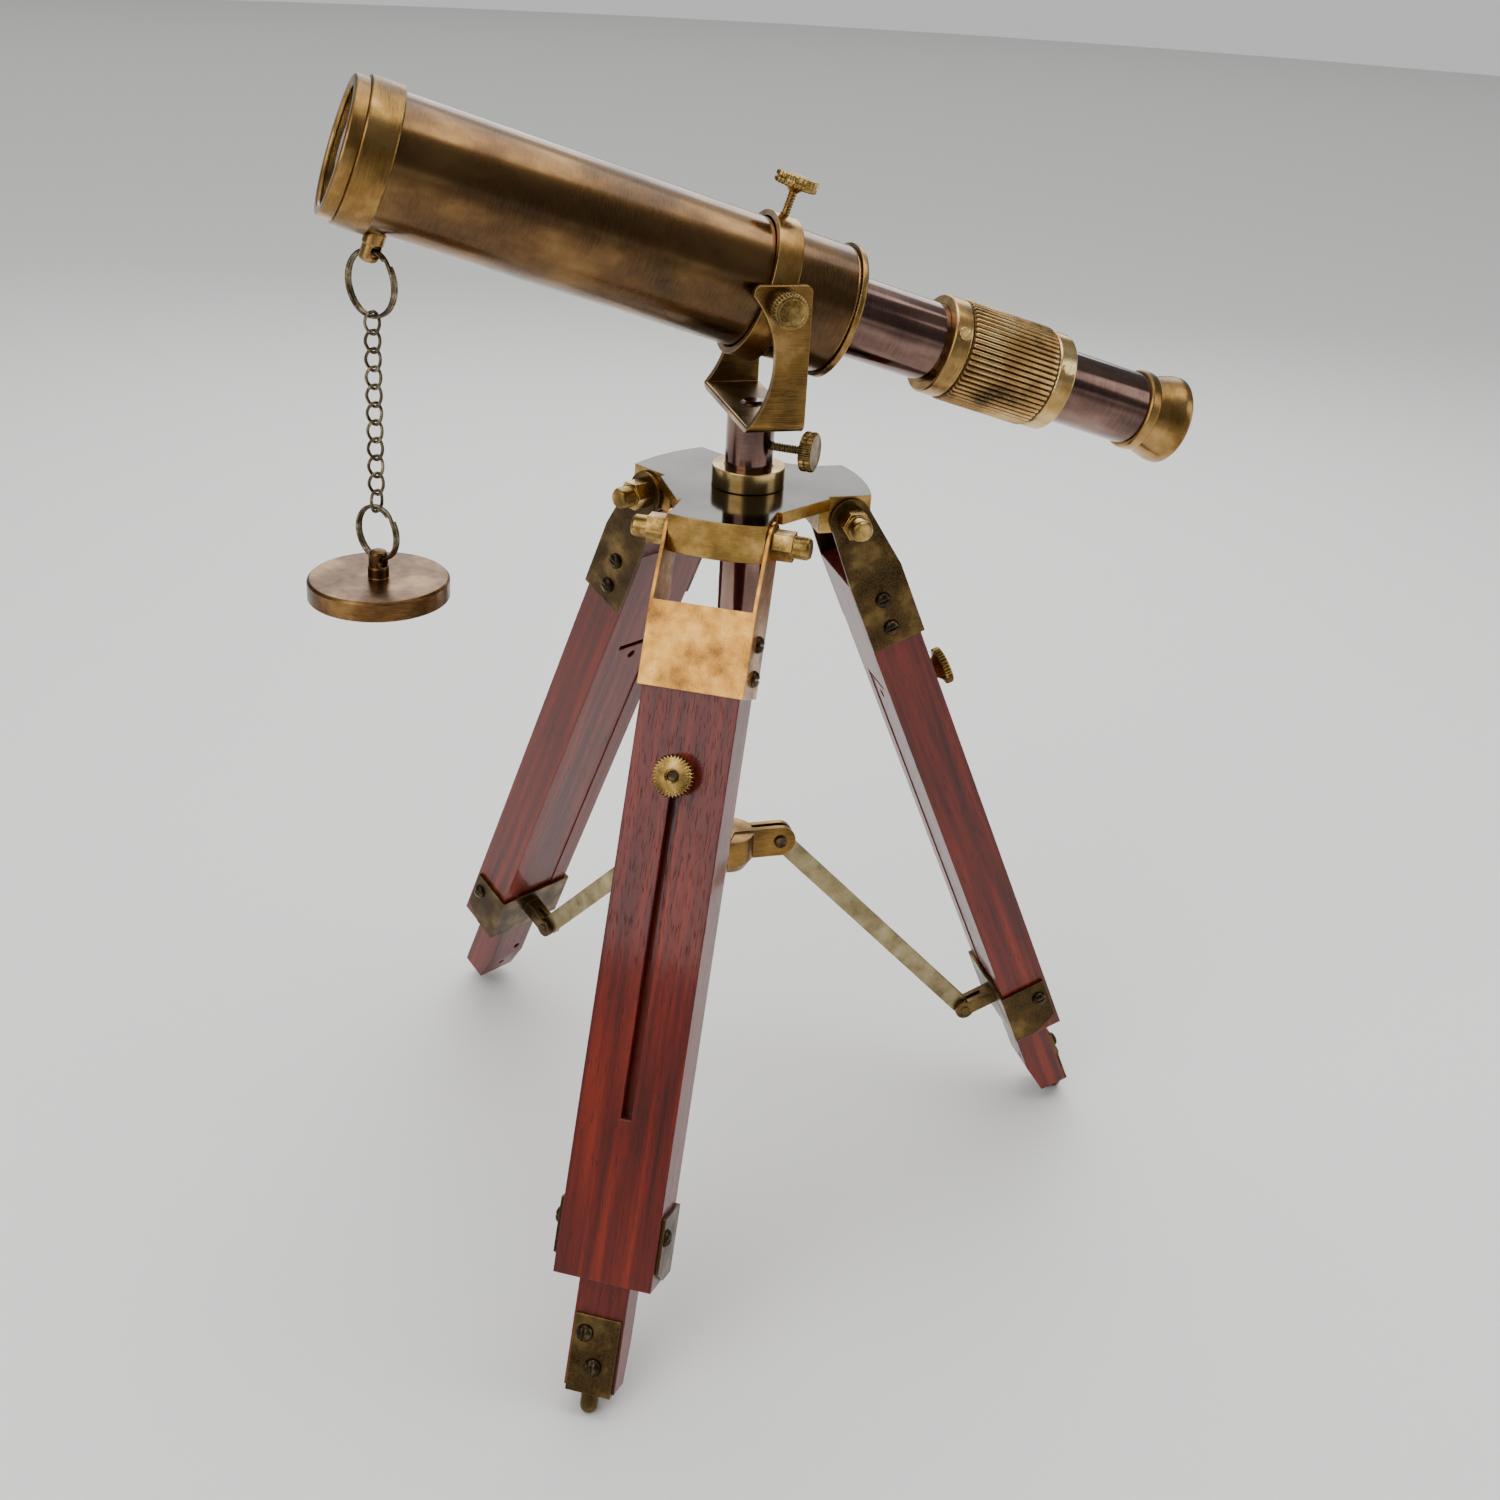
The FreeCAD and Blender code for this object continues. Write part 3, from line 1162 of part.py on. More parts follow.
def hanging_point():
    """The middle of the stud's eye, from which ring, chain and cap hang plumb."""
    return optical("stud_station").multVec(Vector(-size("tube_radius + stud_eye_drop"), 0, 0))


def stud_body(name, placement):
    """A stud with a flange, standing on its placement's XY plane, domed at its end."""
    body = new_body(name)
    revolve(body, [
        ("0", "-stud_flange_height / 2"),
        ("stud_flange_radius", "-stud_flange_height / 2"),
        ("stud_flange_radius", "stud_flange_height"),
        ("stud_barrel_radius", "stud_flange_height + 0.2"),
        ("stud_barrel_radius", "stud_length - 1.2"),
        ("stud_barrel_radius * 0.86", "stud_length - 0.5"),
        ("stud_barrel_radius * 0.5", "stud_length - 0.1"),
        ("0", "stud_length"),
    ])
    body.Placement = placement
    return body


def stud_eye(name, middle):
    """The tool that drills a stud along the ring's direction."""
    across = across_ring()
    reach = 2 * size("stud_barrel_radius")
    return cylinder(name, "stud_eye_radius", "4 * stud_barrel_radius",
                    facing(across, middle - across * reach))


def cut_from(label, base, tools):
    """Cut several tools from a shape and keep the result."""
    cut = doc.addObject("Part::Cut", label)
    cut.Base = base
    cut.Tool = boolean("Part::MultiFuse", label + "_tools", tools)
    return keep(cut, label)


def chain_stud():
    """The stud under the objective end, drilled for the upper ring."""
    frame = optical("stud_station").multiply(
        facing(-X_AXIS, Vector(-size("tube_radius"), 0, 0)))
    tube = cylinder("stud_saddle", "tube_radius", "2 * tube_front", OPTICAL)
    cut_from("cap_chain_stud", stud_body("cap_chain_stud_blank", frame),
             [stud_eye("cap_chain_stud_eye", hanging_point()), tube])


def split_ring(radius, centre):
    """Two turns of wire side by side, upright, with their normal square to across_ring."""
    side = across_ring().cross(Z_AXIS)
    wire = size("ring_wire_radius")
    spread = side * size("ring_wire_spread")
    turns = [Part.makeTorus(radius, wire, centre + shift, side) for shift in (spread, -spread)]
    return turns[0].fuse(turns[1])


def chain_link(centre, normal):
    """One oval link round a point, flat in the plane square to normal."""
    wire = size("link_wire_radius")
    half = size("link_inside_length") / 2 + wire
    bend = size("link_inside_width") / 2 + wire
    straight = half - bend
    aside = normal.cross(Z_AXIS)
    corners = [centre + aside * (sx * bend) + Z_AXIS * (sz * straight)
               for sx, sz in ((1, -1), (1, 1), (-1, 1), (-1, -1))]
    path = Part.Wire([
        Part.makeLine(corners[0], corners[1]),
        Part.Arc(corners[1], centre + Z_AXIS * half, corners[2]).toShape(),
        Part.makeLine(corners[2], corners[3]),
        Part.Arc(corners[3], centre - Z_AXIS * half, corners[0]).toShape()])
    return loop_wire(path, wire)


def ring_and_chain():
    """The upper split ring, then the chain of links with its lower ring, then the cap."""
    across = across_ring()
    side = across.cross(Z_AXIS)
    wire = size("ring_wire_radius")
    hook = hanging_point() + Z_AXIS * size("ring_eye_lift")
    upper = size("upper_ring_radius")
    lower = size("lower_ring_radius")
    ring = doc.addObject("Part::Feature", "upper_ring")
    ring.Shape = split_ring(upper, hook - Z_AXIS * upper)
    keep(ring, "upper_ring")
    inside = size("link_inside_length")
    pitch = inside - 2 * size("link_gap")
    seat = wire + size("ring_link_gap")
    first = hook.z - 2 * upper + seat - inside / 2
    solids = []
    for index in range(CHAIN_LINKS):
        normal = across if index % 2 == 0 else side
        solids.append(chain_link(Vector(hook.x, hook.y, first - index * pitch), normal))
    last = first - (CHAIN_LINKS - 1) * pitch - inside / 2
    low_hook = Vector(hook.x, hook.y, last + seat - 2 * lower)
    solids.append(split_ring(lower, low_hook + Z_AXIS * lower))
    item = doc.addObject("Part::Feature", "cap_chain")
    item.Shape = Part.makeCompound(solids)
    keep(item, "cap_chain")
    lens_cap(low_hook - Z_AXIS * size("ring_eye_lift"))


def lens_cap(eye):
    """The cap: a shallow cup that slips over the bezel, with a drilled stud on its top."""
    top = eye.z - size("stud_eye_drop")
    wall = f"({CAP_BORE} + cap_wall)"
    cup = new_body("cap_cup")
    revolve(cup, [
        ("0", "-cap_top_thickness"),
        (CAP_BORE, "-cap_top_thickness"),
        (CAP_BORE, "-cap_height"),
        (f"{wall} - 0.2", "-cap_height"),
        (wall, "-cap_height + 0.2"),
        (wall, "-0.6"),
        (f"{wall} - 0.6", "0"),
        ("0", "0"),
    ])
    place = Placement(Vector(eye.x, eye.y, top), Rotation())
    cup.Placement = place
    blank = boolean("Part::MultiFuse", "cap_blank", [cup, stud_body("cap_stud", place)])
    cut = doc.addObject("Part::Cut", "lens_cap")
    cut.Base = blank
    cut.Tool = stud_eye("cap_stud_eye", eye)
    keep(cut, "lens_cap")


def check_and_export():
    """Stop on any failed object, then write one STEP file for each node."""
    doc.recompute()
    failed = [item.Label for item in doc.Objects
              if "Invalid" in item.State or "Error" in item.State]
    bad = [label for label, item in nodes.items()
           if item.Shape.isNull() or not item.Shape.isValid() or not item.Shape.Solids]
    if failed or bad:
        raise RuntimeError(f"failed objects {failed}, bad shapes {bad}")
    os.makedirs("parts", exist_ok=True)
    for label, item in nodes.items():
        item.Shape.exportStep(os.path.join("parts", label + ".step"))
        print(label, len(item.Shape.Solids), round(item.Shape.Volume, 1))
    print(len(nodes), "nodes")


def main():
    """Build every piece and export it."""
    top_plate()
    column_pieces()
    leg_pivot_bolts()
    spreader()
    screw = round_head_screw()
    for name in LEGS:
        frame = leg_frame(name)
        outer_leg(name, frame)
        leg_strap(name, frame)
        leg_bracket(name, frame)
        inner_leg(name, frame)
        foot(name, frame)
        leg_nut(name, frame)
        leg_fixings(name, frame, screw)
    yoke_pieces()
    cradle_pieces()
    main_tube_pieces()
    draw_tube_pieces()
    eyepiece_pieces()
    chain_stud()
    ring_and_chain()
    check_and_export()


main()
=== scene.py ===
"""Looks of a brass draw-tube telescope on a folding mahogany tripod, built round its CAD frame.

Every place comes from the frame's joints and boxes. Sizes are in millimetres unless a name says
otherwise, and meshes are made in metres with their place in their points.
"""

import json
import logging
import math
from dataclasses import dataclass, field
from enum import Enum
from typing import Any, Callable, Optional, Sequence

import bmesh
import bpy
from mathutils import Matrix, Vector

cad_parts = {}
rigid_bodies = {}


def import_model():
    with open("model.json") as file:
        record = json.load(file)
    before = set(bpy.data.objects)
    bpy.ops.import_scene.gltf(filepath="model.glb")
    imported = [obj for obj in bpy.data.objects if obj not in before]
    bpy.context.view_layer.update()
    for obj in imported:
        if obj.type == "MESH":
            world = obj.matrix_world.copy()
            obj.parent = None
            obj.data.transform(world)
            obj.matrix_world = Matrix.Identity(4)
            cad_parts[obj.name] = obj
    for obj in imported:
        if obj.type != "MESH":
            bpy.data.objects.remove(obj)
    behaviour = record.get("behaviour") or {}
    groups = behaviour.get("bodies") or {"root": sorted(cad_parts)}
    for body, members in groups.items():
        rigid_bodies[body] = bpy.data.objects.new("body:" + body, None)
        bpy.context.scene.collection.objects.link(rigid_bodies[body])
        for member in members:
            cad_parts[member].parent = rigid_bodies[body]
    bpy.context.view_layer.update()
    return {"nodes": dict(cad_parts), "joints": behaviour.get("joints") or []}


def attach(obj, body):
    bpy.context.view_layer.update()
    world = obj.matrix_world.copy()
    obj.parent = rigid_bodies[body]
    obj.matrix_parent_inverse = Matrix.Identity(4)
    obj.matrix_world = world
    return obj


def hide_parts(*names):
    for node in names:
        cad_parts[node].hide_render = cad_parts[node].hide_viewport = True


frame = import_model()

LOG = logging.getLogger("telescope")
MM = 0.001
UP = Vector((0.0, 0.0, 1.0))
CHAIN_LINKS = 11
CORNER_DEGREES = 34.0
EASED_DEGREES = 35.0
FLAT_DEGREES = 0.4


class LegName(Enum):
    """The three legs, by the side of the stand that they point to."""

    FRONT = "front"
    LEFT = "left"
    RIGHT = "right"


# ---- Small tools --------------------------------------------------------------------------


def linear(shade: str) -> tuple[float, float, float, float]:
    """Turns a colour into the linear values that shaders use.

    Args:
        shade: An sRGB colour such as "#c0a060".

    Returns:
        Red, green, blue and alpha, linear.
    """
    parts = [int(shade[start:start + 2], 16) / 255 for start in (1, 3, 5)]
    red, green, blue = [
        part / 12.92 if part <= 0.04045 else ((part + 0.055) / 1.055) ** 2.4 for part in parts]
    return red, green, blue, 1.0


def add(tree: bpy.types.NodeTree, kind: str, settings: Optional[dict[str, Any]] = None,
        inputs: Optional[dict[Any, Any]] = None) -> bpy.types.Node:
    """Adds a node with its settings and links.

    Args:
        tree: The node tree that gets the node.
        kind: The node's type name.
        settings: Attributes of the node. "stops" fills a colour ramp with (position, colour).
        inputs: Values or sockets to link, by the input's name or number.

    Returns:
        The new node.
    """
    node = tree.nodes.new(kind)
    for name, value in (settings or {}).items():
        if name != "stops":
            setattr(node, name, value)
            continue
        steps = node.color_ramp.elements
        while len(steps) < len(value):
            steps.new(1.0)
        for step, (position, colour) in zip(steps, value):
            step.position = position
            step.color = colour
    for key, value in (inputs or {}).items():
        if isinstance(value, bpy.types.NodeSocket):
            tree.links.new(value, node.inputs[key])
        else:
            node.inputs[key].default_value = value
    return node


def grey(value: float) -> tuple[float, float, float, float]:
    """A neutral ramp colour."""
    return value, value, value, 1.0


def axes(origin: Vector, along: Vector, aside: Vector) -> Matrix:
    """Makes a local frame.

    Args:
        origin: The frame's origin, in metres.
        along: The direction of its z axis.
        aside: A direction near its x axis.

    Returns:
        The matrix from the local frame to the object's frame.
    """
    z = along.normalized()
    y = z.cross(aside).normalized()
    x = y.cross(z)
    turned = Matrix((x, y, z)).transposed().to_4x4()
    return Matrix.Translation(origin) @ turned


def joint(name: str) -> tuple[Vector, Vector]:
    """The place, in metres, and the direction of one of the frame's joints."""
    found = next(entry for entry in frame["joints"] if entry["name"] == name)
    return Vector(found.get("pos_m", (0, 0, 0))), Vector(found["axis"])


def spans(node: str, place: Matrix) -> tuple[Vector, Vector]:
    """Measures a CAD node in a local frame.

    Args:
        node: The node's name.
        place: The local frame.

    Returns:
        Its lowest and highest local corners, in millimetres.
    """
    back = place.inverted()
    points = [back @ vertex.co for vertex in frame["nodes"][node].data.vertices]
    low = Vector([min(point[axis] for point in points) for axis in range(3)])
    high = Vector([max(point[axis] for point in points) for axis in range(3)])
    return low / MM, high / MM


def body_of(node: str) -> str:
    """The body that a CAD node rides on."""
    return frame["nodes"][node].parent.name.split(":", 1)[1]


def smooth(mesh: bpy.types.Mesh, sharp_degrees: float) -> None:
    """Shades a mesh smooth, with creases kept where faces meet at more than an angle."""
    mesh.shade_smooth()
    mesh.set_sharp_from_angle(angle=math.radians(sharp_degrees))


def show(name: str, mesh: bpy.types.Mesh, node: str, material: bpy.types.Material,
         replaced: Sequence[str] = ()) -> bpy.types.Object:
    """Puts a finished mesh in the scene and fastens it to its body.

    Args:
        name: The new piece's name.
        mesh: Its mesh, in metres and in place.
        node: The CAD node that it belongs to, which gives its body.
        material: Its finish.
        replaced: The CAD nodes that it stands for.

    Returns:
        The piece.
    """
    piece = bpy.data.objects.new(name, mesh)
    bpy.context.scene.collection.objects.link(piece)
    if not mesh.materials:
        mesh.materials.append(material)
    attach(piece, body_of(node))
    if replaced:
        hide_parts(*replaced)
    LOG.info("%s rides on %s, %d faces", name, body_of(node), len(mesh.polygons))
    return piece


def to_mesh(name: str, shape: bmesh.types.BMesh, place: Matrix, sharp_degrees: float = 38.0
            ) -> bpy.types.Mesh:
    """Turns a shape made in local millimetres into a mesh in place.

    Args:
        name: The mesh's name.
        shape: The shape, which is freed.
        place: Its local frame.
        sharp_degrees: The angle past which an edge stays sharp.

    Returns:
        The mesh, in metres, its faces outward.
    """
    bmesh.ops.remove_doubles(shape, verts=shape.verts, dist=0.0005)
    bmesh.ops.recalc_face_normals(shape, faces=shape.faces)
    bmesh.ops.transform(shape, matrix=place @ Matrix.Scale(MM, 4), verts=shape.verts)
    mesh = bpy.data.meshes.new(name)
    shape.to_mesh(mesh)
    shape.free()
    smooth(mesh, sharp_degrees)
    return mesh


def baked(piece: bpy.types.Object) -> bpy.types.Mesh:
    """Bakes an object's modifiers and throws the object away.

    Args:
        piece: The object.

    Returns:
        The plain mesh that its modifiers make.
    """
    graph = bpy.context.evaluated_depsgraph_get()
    mesh = bpy.data.meshes.new_from_object(piece.evaluated_get(graph))
    piece.modifiers.clear()
    bpy.data.objects.remove(piece)
    return mesh


def level_normals(mesh: bpy.types.Mesh) -> bpy.types.Mesh:
    """Keeps true corners sharp and broad faces flat, so that a polished face reflects as one.

    Args:
        mesh: The mesh.

    Returns:
        The same shape with its normals set.
    """
    smooth(mesh, CORNER_DEGREES)
    carrier = bpy.data.objects.new("carrier", mesh)
    bpy.context.scene.collection.objects.link(carrier)
    weigh = carrier.modifiers.new("Flat faces", "WEIGHTED_NORMAL")
    weigh.keep_sharp = True
    weigh.weight = 90
    return baked(carrier)


def softened(node: str, material: bpy.types.Material, width: float = 0.15,
             within: Optional[Callable[[bpy.types.Mesh], None]] = None) -> bpy.types.Object:
    """Replaces a CAD node by a copy with its sharp edges eased, as tumbled brass has them.

    Args:
        node: The node's name.
        material: Its finish.
        width: How wide the eased edge is.
        within: Dresses part of the mesh, such as a blackened bore.

    Returns:
        The new piece.
    """
    shape = bmesh.new()
    shape.from_mesh(frame["nodes"][node].data)
    bmesh.ops.remove_doubles(shape, verts=shape.verts, dist=1e-6)
    bmesh.ops.dissolve_degenerate(shape, edges=shape.edges, dist=1e-6)
    bmesh.ops.dissolve_limit(shape, angle_limit=math.radians(FLAT_DEGREES), verts=shape.verts,
                             edges=shape.edges)
    source = bpy.data.meshes.new(f"{node}_blank")
    shape.to_mesh(source)
    shape.free()
    blank = bpy.data.objects.new(f"{node}_blank", source)
    bpy.context.scene.collection.objects.link(blank)
    ease = blank.modifiers.new("Eased edges", "BEVEL")
    ease.width = width * MM
    ease.segments = 2
    ease.limit_method = "ANGLE"
    ease.angle_limit = math.radians(EASED_DEGREES)
    mesh = level_normals(baked(blank))
    mesh.materials.clear()
    mesh.materials.append(material)
    if within:
        within(mesh)
    return show(f"{node}_finished", mesh, node, material, (node,))


# ---- Shapes -------------------------------------------------------------------------------


def stitched(shape: bmesh.types.BMesh, rings: Sequence[Sequence[bmesh.types.BMVert]]) -> None:
    """Joins each ring of points to the next by a band of faces.

    Args:
        shape: The shape that holds the points.
        rings: The rings, all with as many points.
    """
    for lower, upper in zip(rings, rings[1:]):
        for step, point in enumerate(lower):
            after = (step + 1) % len(lower)
            shape.faces.new((point, lower[after], upper[after], upper[step]))


def turned(profile: Sequence[tuple[float, ...]], steps: int, teeth: int = 0) -> bmesh.types.BMesh:
    """Turns a profile round the z axis, with teeth cut where a row asks for them.

    Args:
        profile: Rows of radius, height and, if toothed, the depth of the cut.
        steps: Points round the piece.
        teeth: Teeth round the piece.

    Returns:
        The closed shape.
    """
    shape = bmesh.new()
    rings = []
    for radius, height, *cut in profile:
        depth = cut[0] if cut else 0.0
        ring = []
        for step in range(steps):
            angle = math.tau * step / steps
            hollow = 0.5 - 0.5 * math.cos(teeth * angle)
            reach = radius - depth * hollow
            ring.append(shape.verts.new((reach * math.cos(angle), reach * math.sin(angle), height)))
        rings.append(ring)
    stitched(shape, rings)
    if profile[0][0] > 0.001 and profile[0][:2] != profile[-1][:2]:
        shape.faces.new(rings[0])
        shape.faces.new(rings[-1])
    return shape


def threaded(radius: float, pitch: float, low: float, high: float) -> bmesh.types.BMesh:
    """Cuts a screw thread along the z axis.

    Args:
        radius: Outer radius of the thread.
        pitch: Rise of one turn.
        low: Where it starts.
        high: Where it ends.

    Returns:
        The threaded rod, closed at both ends.
    """
    around = 24
    rows = max(2, round((high - low) / pitch * 8))
    depth = 0.28 * pitch * 2
    shape = bmesh.new()
    rings = []
    for row in range(rows + 1):
        height = low + (high - low) * row / rows
        ring = []
        for step in range(around):
            phase = (height / pitch - step / around) % 1.0
            reach = radius - depth * abs(2 * phase - 1) ** 1.2
            angle = math.tau * step / around
            ring.append(shape.verts.new((reach * math.cos(angle), reach * math.sin(angle), height)))
        rings.append(ring)
    stitched(shape, rings)
    shape.faces.new(rings[0])
    shape.faces.new(rings[-1])
    return shape


def wire_along(path: Sequence[Vector], radius: float, closed: bool, sides: int = 10
               ) -> bmesh.types.BMesh:
    """Draws round wire along a path.

    Args:
        path: The wire's middle line.
        radius: The wire's radius.
        closed: Whether the last point joins the first.
        sides: Points round the wire.

    Returns:
        The wire, with flat cut ends if it's open.
    """
    shape = bmesh.new()
    count = len(path)
    rings = []
    side = Vector((0.31, 0.95, 0.07))
    for index, point in enumerate(path):
        before = path[index - 1] if closed or index > 0 else point
        after = path[(index + 1) % count] if closed or index < count - 1 else point
        ahead = (after - before).normalized()
        side = (side - ahead * side.dot(ahead)).normalized()
        other = ahead.cross(side)
        rings.append([shape.verts.new(
            point + (side * math.cos(math.tau * step / sides)
                     + other * math.sin(math.tau * step / sides)) * radius)
            for step in range(sides)])
    stitched(shape, rings)
    if closed:
        close_loop(shape, rings[-1], rings[0])
    else:
        shape.faces.new(rings[0])
        shape.faces.new(rings[-1])
    return shape


def close_loop(shape: bmesh.types.BMesh, last: list, first: list) -> None:
    """Joins the two end rings of a closed wire where their points lie nearest.

    Args:
        shape: The wire.
        last: The points of its last ring.
        first: The points of its first ring.
    """
    sides = len(last)
    shift = min(range(sides), key=lambda turn: sum(
        (last[step].co - first[(step + turn) % sides].co).length for step in range(sides)))
    for step in range(sides):
        shape.faces.new((last[step], last[(step + 1) % sides],
                         first[(step + 1 + shift) % sides], first[(step + shift) % sides]))


def merged(shapes: Sequence[bmesh.types.BMesh]) -> bmesh.types.BMesh:
    """Joins shapes into the first, and frees the rest.

    Args:
        shapes: The shapes.

    Returns:
        The first one, with the others in it.
    """
    whole = shapes[0]
    for extra in shapes[1:]:
        carrier = bpy.data.meshes.new("carrier")
        extra.to_mesh(carrier)
        extra.free()
        whole.from_mesh(carrier)
        bpy.data.meshes.remove(carrier)
    return whole


# ---- Geometry Nodes -----------------------------------------------------------------------


def geometry_tree(name: str, sizes: dict[str, str]
                  ) -> tuple[bpy.types.NodeTree, bpy.types.Node, bpy.types.Node]:
    """Starts a tree with a geometry input, named sizes and a material.

    Args:
        name: The tree's name.
        sizes: The socket type of each named size.

    Returns:
        The tree, its input node and its output node.
    """
    tree = bpy.data.node_groups.new(name, "GeometryNodeTree")
    tree.interface.new_socket("Geometry", in_out="OUTPUT", socket_type="NodeSocketGeometry")
    tree.interface.new_socket("Geometry", in_out="INPUT", socket_type="NodeSocketGeometry")
    for size, kind in {**sizes, "Finish": "NodeSocketMaterial"}.items():
        tree.interface.new_socket(size, in_out="INPUT", socket_type=kind)
    return tree, add(tree, "NodeGroupInput"), add(tree, "NodeGroupOutput")


def end_tree(tree: bpy.types.NodeTree, start: bpy.types.Node, end: bpy.types.Node,
             copies: bpy.types.NodeSocket) -> None:
    """Makes a tree's copies real, gives them their finish and ends it.

    Args:
        tree: The tree.
        start: Its input node.
        end: Its output node.
        copies: The instances.
    """
    real = add(tree, "GeometryNodeRealizeInstances", inputs={0: copies})
    dressed = add(tree, "GeometryNodeSetMaterial",
                  inputs={"Geometry": real.outputs[0], "Material": start.outputs["Finish"]})
    tree.links.new(dressed.outputs[0], end.inputs[0])


def ring_of_copies() -> bpy.types.NodeTree:
    """Stands copies of a shape in a ring round the z axis, each turned to face out.

    Returns:
        The tree.
    """
    tree, start, end = geometry_tree("Ring of copies", {
        "Count": "NodeSocketInt", "Radius": "NodeSocketFloat"})
    circle = add(tree, "GeometryNodeMeshCircle",
                 inputs={"Vertices": start.outputs["Count"], "Radius": start.outputs["Radius"]})
    index = add(tree, "GeometryNodeInputIndex")
    share = add(tree, "ShaderNodeMath", {"operation": "DIVIDE"},
                {0: index.outputs[0], 1: start.outputs["Count"]})
    angle = add(tree, "ShaderNodeMath", {"operation": "MULTIPLY"},
                {0: share.outputs[0], 1: math.tau})
    turn = add(tree, "ShaderNodeCombineXYZ", inputs={2: angle.outputs[0]})
    copies = add(tree, "GeometryNodeInstanceOnPoints", inputs={
        "Points": circle.outputs[0], "Instance": start.outputs["Geometry"],
        "Rotation": turn.outputs[0]})
    end_tree(tree, start, end, copies.outputs[0])
    return tree


def hanging_row() -> bpy.types.NodeTree:
    """Hangs copies of a shape in a row down the z axis.

    Returns:
        The tree.
    """
    tree, start, end = geometry_tree("Hanging row", {
        "Count": "NodeSocketInt", "Pitch": "NodeSocketFloat"})
    down = add(tree, "ShaderNodeMath", {"operation": "MULTIPLY"},
               {0: start.outputs["Pitch"], 1: -1.0})
    step = add(tree, "ShaderNodeCombineXYZ", inputs={2: down.outputs[0]})
    line = add(tree, "GeometryNodeMeshLine",
               inputs={"Count": start.outputs["Count"], "Offset": step.outputs[0]})
    copies = add(tree, "GeometryNodeInstanceOnPoints", inputs={
        "Points": line.outputs[0], "Instance": start.outputs["Geometry"]})
    end_tree(tree, start, end, copies.outputs[0])
    return tree


def repeated(shape: bmesh.types.BMesh, tree: bpy.types.NodeTree, sizes: dict[str, Any],
             material: bpy.types.Material) -> bmesh.types.BMesh:
    """Runs a tree on a shape.

    Args:
        shape: The shape to repeat, which is freed.
        tree: The tree.
        sizes: Its named inputs.
        material: The finish of the copies.

    Returns:
        The copies as one shape, still in the shape's own units.
    """
    mesh = bpy.data.meshes.new("unit")
    bmesh.ops.recalc_face_normals(shape, faces=shape.faces)
    shape.to_mesh(mesh)
    shape.free()
    carrier = bpy.data.objects.new("carrier", mesh)
    bpy.context.scene.collection.objects.link(carrier)
    modifier = carrier.modifiers.new(tree.name, "NODES")
    modifier.node_group = tree
    wanted = {**sizes, "Finish": material}
    for item in tree.interface.items_tree:
        if item.in_out == "INPUT" and item.name in wanted:
            modifier[item.identifier] = wanted[item.name]
    result = baked(carrier)
    copies = bmesh.new()
    copies.from_mesh(result)
    bpy.data.meshes.remove(result)
    return copies


# ---- Finishes -----------------------------------------------------------------------------


def marks(tree: bpy.types.NodeTree, spot: bpy.types.NodeSocket, place: Matrix,
          size: tuple[float, float, float], detail: float) -> bpy.types.NodeSocket:
    """A noise whose marks have a real size, laid along a piece's own axes.

    Args:
        tree: The finish's tree.
        spot: Where on the piece, in object coordinates.
        place: The piece's own frame.
        size: The size of a mark along x, y and z, in millimetres.
        detail: How much finer structure each mark has.

    Returns:
        The noise's value.
    """
    local = add(tree, "ShaderNodeMapping", {"vector_type": "TEXTURE"}, {
        "Vector": spot, "Location": place.translation, "Rotation": place.to_euler(),
        "Scale": Vector(size) * MM})
    noise = add(tree, "ShaderNodeTexNoise", inputs={
        "Vector": local.outputs[0], "Scale": 1.0, "Detail": detail, "Roughness": 0.55})
    return noise.outputs[0]


